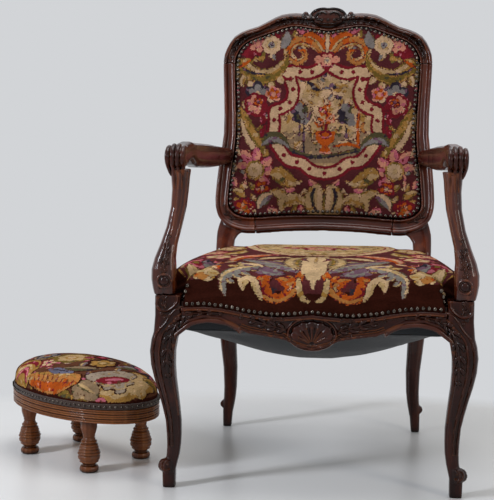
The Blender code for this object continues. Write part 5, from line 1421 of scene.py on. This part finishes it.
# %% Reading a piece's middle and width
def profile(name):
    """For heights up a piece: its middle and half width from left to right, in chair coordinates."""
    points = points_of(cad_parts[name]) - np.array(CHAIR_AT)
    rows = []
    for z in np.unique(np.round(points[:, 2], 4)):
        near = points[np.abs(points[:, 2] - z) < MM, 0]
        if len(near) >= 8:
            rows.append((float(z), float(near.min() + near.max()) / 2, float(np.ptp(near)) / 2))
    heights, middles, halves = zip(*rows)

    def at_height(z):
        """The middle and half width at one height."""
        return float(np.interp(z, heights, middles)), float(np.interp(z, heights, halves))

    return at_height


print("a leg at half height:", [round(value, 3) for value in profile("front_leg_left")(0.2)])

# %% Beads of the front rail
RAIL_BEADS = (
    # heights, above them, radius, from, to, keys
    (LEDGE, -0.0058, 0.0015, 0.0, 0.256, 18),
    (LOWER_EDGE, 0.0135, 0.0016, 0.048, 0.140, 12),
    (LOWER_EDGE, 0.0085, 0.0014, 0.0, 0.142, 14),
    (LOWER_EDGE, 0.0040, 0.0024, 0.0, 0.144, 14),
)
ARCH = "141 327 6, 152 334 5.4, 172 342.5 5.2, 206 347.5 5.2, 236 342.5 5.2, 250 335 5.2"
SHELL_FOOT = 0.308
rail_skin = skin("front_rail", "front_leg_left", "front_leg_right")
rail_lines, arches = [], []
for side, _ in SIDES:
    for heights, above, radius, start, end, count in RAIL_BEADS:
        keys = [(side * x, along_rail(heights, x) + above, radius) for x in np.linspace(start, end, count)]
        rail_lines.append(line_on(rail_skin, keys, 4))
for side, hand in SIDES:
    found, run = None, []
    for x, z, radius in smooth_through(mirrored(side, ARCH), 5):
        found = touch(rail_skin, FRONT, x, z + 9 * MM, found)
        if found:
            run.append((found[0] - Vector((0, 0, found[0].z - z)), radius))
    at_height, leg_skin = profile("front_leg_" + hand), skin("front_leg_" + hand)
    for z in np.linspace(0.318, 0.150, 15):
        middle, half = at_height(z)
        found = touch(leg_skin, FRONT, middle - side * half * 0.84, z)
        if found:
            run.append((found[0], 0.0022 + 0.0030 * (z - 0.150) / 0.168))
    arches.append(run)
beads("front_arch_beads", arches, WALNUT["X"], sides=2)
# The shell's ribs spread from its foot like a fan
for lean in (22, 45, 67, 90, 113, 135, 158):
    x, z = math.cos(math.radians(lean)), math.sin(math.radians(lean))
    rail_lines.append(line_on(rail_skin, [
        (0.006 * x, SHELL_FOOT + 0.005 * z, 0.0010), (0.018 * x, SHELL_FOOT + 0.020 * z, 0.0019),
        (0.029 * x, SHELL_FOOT + 0.034 * z, 0.0026),
    ], 5))
beads("front_rail_beads", rail_lines, OLD_WALNUT["X"])

# %% Leaves of the front rail
RAIL_SPRAYS = (
    # across, up, reach along the stem, then pairs of leaflets and their thickness
    ("52 334 8, 70 338 10.5, 94 344 9.5, 122 351.5 7, 150 358 2", 5, 0.0047),
    ("50 352 4, 66 353.5 6, 84 353.5 3", 2, 0.0034),
    ("50 321.5 4, 68 324.5 6, 88 329 5, 110 334.5 2", 3, 0.0034),
    ("176 360.5 3, 200 362.5 5.5, 226 362 6.5, 250 357 8", 4, 0.0046),
)
sprays = []
for side, _ in SIDES:
    for table, pairs, thick in RAIL_SPRAYS:
        sprays += spray(rail_skin, mirrored(side, table), pairs, thick)
beads("front_rail_leaves", sprays, CARVED)
carved("front_rail", OLD_WALNUT["X"], 0.0015, 1)
for _, hand in SIDES:
    carved("side_rail_" + hand, WALNUT["Y"], 0.0022)

# %% [markdown]
# ### Buttons and pearls
# Small round bosses are turned from one flattened ball. They end the leaf sprays of the rail, and
# each arm support has a large button at its foot with the small bosses of a husk above it.

# %% Pearls
PEARLS = "158 357.5 5.2, 166 359 4.4, 173 360.5 3.6, 145 328.5 10"
HUSK = """295 425 20, 304 413 9.5, 292.5 499 8, 296.5 488 9, 287 482 8.5, 299 474 9.5, 291.5 470 10,
    303.5 462 9, 295.5 458 11, 287.5 460 8, 301 449 9.5, 292.5 446 9, 296.5 437 8, 300 360 10, 293.5 353 8.5"""
bpy.ops.object.select_all(action="DESELECT")
bpy.ops.mesh.primitive_ico_sphere_add(subdivisions=2, radius=0.5)
pearl = bpy.context.object
pearl.name = "pearl"
in_edit_mode(pearl, (bpy.ops.transform.resize, {"value": (1, 1, 0.62)}))
support_skin = skin("arm_support_left", "arm_support_right", "front_leg_left", "front_leg_right")
spots = []
for side, _ in SIDES:
    for surface, table in ((rail_skin, PEARLS), (support_skin, HUSK)):
        for x, z, size in mirrored(side, table):
            found = touch(surface, FRONT, x, z)
            if found:
                spots.append((*found, size))
copies("pearls", pearl, spots, CARVED)

# %% [markdown]
# ## Legs and arm supports
# Two beads run down each front leg, one near its outer edge and one near its middle, and a long
# leaf covers the knee between them. The foot has a coil, and the block above the knee two beads and
# a small leaf. Each arm support has two beads up its front, a ring round its button and a leaf
# above it.

# %% Knees and edges of the front legs
LEG_HEAD = "258 373.5 2, 270 370 2.4, 281 360 2.6"
INNER_HEAD = "262 360 2.2, 276 344 2.6"
KNEE_LEAF = "254 354 8, 270 339 10.5, 281 314 11, 287 286 9.5, 288 258 7, 286 224 2.5"
BLOCK_LEAF = "292 372 4.5, 296 384 6, 292 397 3.5"
BLOCK_TOP = "262 398.5 3.6, 280 398.5 3.6, 298 398.5 3.6, 309 398.5 3.6"
BLOCK_SCROLL = "268 397 4, 269 385 4, 277 374 4, 290 366 4, 303 368 4, 309 378 4, 307 392 4"
COIL_X, COIL_Z = 0.2935, 0.0490
ANKLE = 0.085


def down_leg(at_height, side, start, aside, radius):
    """Keys down a leg to its ankle, at a share of its half width from its middle."""
    keys = []
    for z in np.linspace(start, ANKLE, 14):
        middle, half = at_height(z)
        keys.append((middle + side * half * aside, z, radius))
    return keys


runs, leaves = [], []
for side, hand in SIDES:
    name = "front_leg_" + hand
    at_height, leg_skin, both = profile(name), skin(name), skin(name, "front_rail")
    outer = mirrored(side, LEG_HEAD) + down_leg(at_height, side, 0.342, 0.66, 0.0027)
    inner = mirrored(side, INNER_HEAD) + down_leg(at_height, side, 0.322, 0.16, 0.0026)
    runs += [line_on(both, outer, 4), line_on(both, inner, 4)]
    leaves += spray(both, mirrored(side, KNEE_LEAF), 6, 0.0054)
    coil = []
    for k in range(12):
        turn, reach = 0.5 * k - 2.2, 0.0125 - 0.00085 * k
        coil.append((side * (COIL_X + reach * math.cos(turn)), COIL_Z + reach * math.sin(turn), 0.0026))
    runs.append(line_on(leg_skin, coil, 2, 0.1))
    leaves += spray(leg_skin, mirrored(side, BLOCK_LEAF), 2, 0.0040)
    runs += [line_on(leg_skin, mirrored(side, table), 5) for table in (BLOCK_TOP, BLOCK_SCROLL)]
    carved(name, OLD_WALNUT["Z"])
beads("front_leg_leaves", leaves, CARVED)
beads("front_leg_beads", runs, OLD_WALNUT["Z"])
for _, hand in SIDES:
    carved("rear_post_" + hand, WALNUT["Z"], 0.0021)

# %% Arm supports
HUSK_LEAF = "296 436 5, 296.5 456 8, 294 478 7.5, 290 502 5, 287 520 1.5"
BUTTON_X, BUTTON_Z, BUTTON_RING = 0.2950, 0.4250, 0.0135
runs, leaves = [], []
for side, hand in SIDES:
    name = "arm_support_" + hand
    at_height, arm_skin = profile(name), skin(name)
    front_bead = []
    for z in np.linspace(0.505, 0.640, 12):
        middle, half = at_height(z)
        front_bead.append((middle - side * half * 0.05, z, 0.0052 * min(1, 0.3 + 10 * (z - 0.505))))
    inner_bead = []
    for z in np.linspace(0.425, 0.640, 14):
        middle, half = at_height(z)
        inner_bead.append((middle - side * half * 0.84, z, 0.0024))
    ring = []
    for k in range(17):
        across = side * BUTTON_X + BUTTON_RING * math.cos(k * 0.4)
        ring.append((across, BUTTON_Z + BUTTON_RING * math.sin(k * 0.4), 0.0026))
    runs += [line_on(arm_skin, front_bead, 3, -0.35), line_on(arm_skin, inner_bead, 3, -0.2)]
    runs.append(line_on(arm_skin, ring, 2))
    leaves += spray(arm_skin, mirrored(side, HUSK_LEAF), 4, 0.0034)
    carved(name, HANDLED)
beads("arm_support_leaves", leaves, CARVED)
beads("arm_support_beads", runs, HANDLED, sides=2)

# %% [markdown]
# ### Arm grips
# The front end of each armrest is carved as a fan of four flutes. They come over the scroll of the
# grip and run together down the front of the support. Here rays go round the scroll's middle to
# find the wood.

# %% Flutes over the arm scrolls
GRIP_X, GRIP_Y, GRIP_Z = 0.277, -0.236, 0.662
FLUTE = 0.0050
runs = []
for side, hand in SIDES:
    arm_skin = skin("armrest_" + hand, "arm_support_" + hand)
    carved("armrest_" + hand, OLD_WALNUT["Y"])
    for shift in (-0.0150, -0.0050, 0.0050, 0.0150):
        heart = CHAIR_AT + Vector((side * GRIP_X + shift, GRIP_Y, GRIP_Z))
        run = []
        for angle in range(112, -25, -8):
            ray = Vector((0, -math.cos(math.radians(angle)), math.sin(math.radians(angle))))
            hit = arm_skin.ray_cast(heart + ray * 0.12, -ray)[0]
            if hit:
                run.append((hit, FLUTE * min(1, 0.4 + (112 - angle) / 60)))
        foot = touch(arm_skin, FRONT, side * 0.2755 + shift * 0.80, 0.632)
        last = run[-1][0]
        run += [(last.lerp(foot[0], share), FLUTE - 0.0022 * share) for share in (0.33, 0.66, 1.0)]
        end = touch(arm_skin, FRONT, side * 0.2765 + shift * 0.72, 0.606, foot)
        runs.append(run + [(end[0], 0.0014)])
beads("arm_scroll_flutes", runs, OLD_WALNUT["Y"], sides=2)

# %% [markdown]
# ## Crest
# The top of the back carries a small cartouche between two sprays of leaves. Curved beads make its
# frame, with an ear on each side, and five pearls lie on it. One fine line follows the shoulders.

# %% Crest carving
CREST_BEADS = (
    # the frame of the cartouche, the scroll in it, its foot, and the ear beside it
    ("0 970 3, 22 973 3.2, 38 983 3.6, 42 995 3.8, 32 1007 4, 14 1012 3.8, 0 1011 3.4", 5),
    ("4 999 2.4, 12 1004 3, 24 1001 3.4, 30 993 3.2, 25 986 2.8, 19 990 2", 5),
    ("0 977 2.4, 12 977 2.6, 22 980 2", 5),
    ("49 974 2, 52 986 2.8, 57 998 3.4, 62 996 3.4, 61 986 2.6, 66 978 2", 4),
)
CREST_SPRAYS = (
    ("66 986 4, 82 988 7.5, 100 984 7.5, 124 977 5.5, 152 964 2", 5, 0.0038),
    ("176 953 3, 194 948 6.5, 213 936 7.5, 227 915 6, 233 886 2", 5, 0.0038),
    ("194 505 3, 214 507 6, 232 520 6, 241 545 2", 4, 0.0034),
)
CREST_PEARLS = "15.5 985 9, 19 999 6"
SHOULDER = """52 992.5 1.5, 80 994 1.5, 112 990 1.5, 140 979 1.5, 170 965 1.5, 198 956 1.5, 222 942 1.5,
    237 918 1.5, 240.5 890 1.5"""
crest_skin = skin("crest_rail", "rear_post_left", "rear_post_right", "back_lower_rail")
runs, sprays, spots, shoulders = [], [], [], []
for side, _ in SIDES:
    runs += [line_on(crest_skin, mirrored(side, table), steps) for table, steps in CREST_BEADS]
    for table, pairs, thick in CREST_SPRAYS:
        sprays += spray(crest_skin, mirrored(side, table), pairs, thick)
    spots += [(*touch(crest_skin, FRONT, x, z), size) for x, z, size in mirrored(side, CREST_PEARLS)]
    shoulders.append(line_on(crest_skin, mirrored(side, SHOULDER), 5))
spots.append((*touch(crest_skin, FRONT, 0, 0.985), 8 * MM))
beads("crest_beads", runs, EBONISED)
beads("crest_line", shoulders, WALNUT["X"])
beads("crest_leaves", sprays, CARVED)
carved("crest_rail", WALNUT["X"], 0.0015, 2)
carved("back_lower_rail", WALNUT["X"], 0.0020)
copies("crest_pearls", pearl, spots, EBONISED)
bpy.data.objects.remove(pearl)

# %% [markdown]
# ## Cloths and webs
# The black cloth under the seat hangs slack between the rails, and the cloth behind the back is
# drawn tight. Both are made finer and get the folds that tacks pull into a cloth, strongest near
# their edges. The jute inside is seen only from odd angles, and follows the CAD shapes.

# %% Cloths
SAG = 0.015


def sheeted(cloth):
    """Measures the width of a cloth; nothing is done with it."""
    width = float(np.ptp(points_of(cloth)[:, 0]))


def hump(place, power=2):
    """1 in the middle of a side, 0 at both its ends."""
    return 1 - (2 * place - 1) ** power


def tacked(cloth, fold, level):
    """Folds towards the edges. A level cloth sags too, mostly near its rails."""
    points = points_of(cloth)
    low, high = points.min(0), points.max(0)
    other, lifted = (1, 2) if level else (2, 1)
    across = (points[:, 0] - low[0]) / (high[0] - low[0])
    along = (points[:, other] - low[other]) / (high[other] - low[other])
    edge = np.minimum(np.minimum(across, 1 - across), np.minimum(along, 1 - along))
    wave = np.sin(46 * across) * np.cos(38 * along) + 0.5 * np.sin(83 * (across + along))
    lift = fold * wave * np.exp(-12 * edge) * (1 - np.exp(-60 * edge))
    if level:
        lift -= SAG * (hump(across, 6) * hump(along, 6) - 0.4 * hump(across) * hump(along))
    points[:, lifted] += lift
    put_points(cloth, points)


def cloth_from(node_name, stuff, levels, fold):
    """A finer copy of a CAD cloth, drawn into small folds towards its tacked edges."""
    cloth = merged_copy(node_name, node_name + "_sewn")
    if levels:
        with_modifier(cloth, "SUBSURF", subdivision_type="SIMPLE", levels=levels, render_levels=levels)
    if fold:
        with_modifier(cloth, "SMOOTH", factor=0.5, iterations=4)
        tacked(cloth, fold, level=node_name == "seat_dust_cloth")
    finished(cloth, "chair", stuff)
    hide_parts(node_name)
    sheeted(cloth)


print("cloths sag by up to", SAG / MM, "mm")

# %% The turned-up strip and the five cloths
SET_BACK_Y = -0.277
strip = merged_copy("front_rail", "dust_cloth_turn_up")
work = bmesh.new()
work.from_mesh(strip.data)
away = [f for f in work.faces if f.normal.y > -0.8 or f.calc_center_median().y - CHAIR_AT.y < SET_BACK_Y]
bmesh.ops.delete(work, geom=away, context="FACES")
for corner in work.verts:
    corner.co.y -= 1.2 * MM
work.to_mesh(strip.data)
work.free()
with_modifier(strip, "SOLIDIFY", thickness=0.8 * MM, offset=0)
finished(strip, "chair", BLACK_COTTON)
sheeted(strip)

cloth_from("seat_dust_cloth", BLACK_COTTON, 2, 0.0022)
cloth_from("outside_back_cloth", BLACK_COTTON, 3, 0.0010)
cloth_from("seat_hessian", JUTE, 1, 0)
cloth_from("seat_webbing", JUTE, 0, 0)
cloth_from("back_webbing", JUTE, 0, 0)

# %% [markdown]
# ## The stool's rim, legs and braid
# The rim is reeded with six fine rods and the legs are turned, with rings cut round the bulb. A
# dark braid hides the edge of the cover behind the nails, and its threads show as small ridges.

# %% Stool wood
REED_HEIGHTS = (0.1135, 0.1185, 0.1235, 0.1285, 0.1335, 0.1385)
BULB_HEIGHT, BULB_REACH, RING_PITCH = 0.052, 0.027, 0.0062
carved("stool_rim", BEECH["X"], body="footstool")
rim_skin = skin("stool_rim")
reeds = []
for height in REED_HEIGHTS:
    heart = STOOL_AT + Vector((0, 0, height))
    run = []
    for k in range(145):
        turn = math.radians(2.5 * k)
        ray = LONG_WAY * math.cos(turn) + SHORT_WAY * math.sin(turn)
        hit = rim_skin.ray_cast(heart + ray * 0.5, -ray)[0]
        if hit:
            run.append((hit + ray * 0.4 * MM, 2 * MM))
    reeds.append(run)
finished(rods("stool_rim_reeds", reeds, 2), "footstool", BEECH["X"])
for corner in ("front_left", "front_right", "rear_left", "rear_right"):
    leg = carved("stool_leg_" + corner, BEECH["Z"], 0.0011, body="footstool")
    points = points_of(leg)
    around = points - (points.min(0) + points.max(0)) / 2
    reach = np.hypot(around[:, 0], around[:, 1])
    bulb = np.exp(-(((points[:, 2] - BULB_HEIGHT) / BULB_REACH) ** 4))
    cuts = 0.0030 * np.sqrt(np.abs(np.sin(math.pi * points[:, 2] / RING_PITCH))) - 0.0022
    rings = cuts * bulb * (reach > 0.008)
    points[:, :2] += around[:, :2] / np.maximum(reach, 1e-6)[:, None] * rings[:, None]
    put_points(leg, points)
print(len(reeds), "reeds and four turned legs")

# %% The stool's braid
BRAID_MIDDLE, BRAID_WIDTH = 0.1418, 0.012
braid = merged_copy("stool_gimp", "stool_braid")
with_modifier(braid, "SUBSURF", subdivision_type="SIMPLE", levels=2, render_levels=2)
points = points_of(braid)
around = points - np.array(STOOL_AT)
angle = np.arctan2(around[:, 1], around[:, 0])
height = (points[:, 2] - BRAID_MIDDLE) / BRAID_WIDTH
ridges = np.abs(np.sin(110 * angle + 3 * np.sin(math.pi * height)))
put_points(braid, points + normals_of(braid) * (0.5 * MM * ridges)[:, None])
finished(braid, "footstool", BRAID)
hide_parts("stool_gimp")
print("braid", len(braid.data.polygons), "faces")

# %% [markdown]
# ## Floor, light and background
# A broad pale floor fades into a blue-grey beyond the chair, as the room does in the picture. The
# light comes from tall windows on the left, with a soft filling light from the other side. The
# camera sees the bright wall colour, while the light that the room sends back is dimmer.

# %% Floor and background
WALL = linear(0xD2D4D7)
FLOOR_MIDDLE = (0.18, -2.30, 0)


def seen(tree):
    """1 where a surface is seen directly, in a gloss or through glass, and 0 where it only lights."""
    path = put(tree, "LightPath").outputs
    either = put(tree, "Math", {0: path["Is Camera Ray"], 1: path["Is Glossy Ray"]}, operation="MAXIMUM")
    return put(tree, "Math", {0: either.outputs[0], 1: path["Is Transmission Ray"]}, operation="MAXIMUM").outputs[0]


bpy.ops.object.select_all(action="DESELECT")
bpy.ops.mesh.primitive_circle_add(vertices=64, radius=9, fill_type="NGON", location=(0, 0, -0.5 * MM))
floor = bpy.context.object
floor.name = "floor"
bpy.ops.object.transform_apply(location=True)
material, tree, shader = new_material("painted_floor", Roughness=0.32)
place = put(tree, "TexCoord")
toward = put(tree, "VectorMath", {0: place.outputs["Object"], 1: FLOOR_MIDDLE}, operation="DISTANCE")
beyond = put(tree, "MapRange", {"Value": toward.outputs["Value"], "From Min": 2.78, "From Max": 2.90})
both = put(tree, "Math", {0: beyond.outputs["Result"], 1: seen(tree)}, operation="MULTIPLY")
patchy = put(tree, "TexNoise", {"Vector": place.outputs["Object"], "Scale": 1.4, "Detail": 2})
tone = put(tree, "ValToRGB", {"Fac": patchy.outputs["Fac"]}, ((0.35, linear(0xE0DFDD)), (0.65, linear(0xE8E7E5))))
tree.links.new(tone.outputs["Color"], shader.inputs["Base Color"])
glow = put(tree, "Emission", {"Color": WALL, "Strength": 1.0})
mixed = put(tree, "MixShader", {0: both.outputs[0], 1: shader.outputs[0], 2: glow.outputs[0]})
tree.links.new(mixed.outputs[0], tree.nodes["Material Output"].inputs["Surface"])
floor.data.materials.append(material)

world = bpy.data.worlds.new("pale_room")
world.use_nodes = True
bpy.context.scene.world = world
tree = world.node_tree
dim = put(tree, "Background", {"Color": linear(0xE6EAEE), "Strength": 0.34})
wall = put(tree, "Background", {"Color": WALL, "Strength": 1.0})
mixed = put(tree, "MixShader", {0: seen(tree), 1: dim.outputs[0], 2: wall.outputs[0]})
tree.links.new(mixed.outputs[0], tree.nodes["World Output"].inputs["Surface"])
print("floor and room are pale")

# %% Lamps
LAMPS = (
    # name, place, aim, width, height, watts, colour
    ("window", (-2.3, -1.7, 1.9), (0.1, 0, 0.55), 0.4, 1.1, 60, 0xF0F5FF),
    ("filling", (2.4, -1.9, 1.5), (0, 0, 0.45), 0.6, 1.2, 15, 0xFFF6EC),
    ("ceiling", (0.2, 0.2, 2.9), (0, 0, 0), 1.6, 1.6, 36, 0xFFFFFF),
)
for name, spot, aim, wide, tall, power, colour in LAMPS:
    bpy.ops.object.light_add(type="AREA", location=spot)
    lamp = bpy.context.object
    lamp.name = name
    lamp.data.shape = "RECTANGLE"
    lamp.data.size, lamp.data.size_y = wide, tall
    lamp.data.energy = power
    lamp.data.color = linear(colour)[:3]
    lamp.rotation_euler = (Vector(aim) - Vector(spot)).to_track_quat("-Z", "Y").to_euler()
bpy.context.scene.view_settings.view_transform = "Standard"
print(len(LAMPS), "lamps")
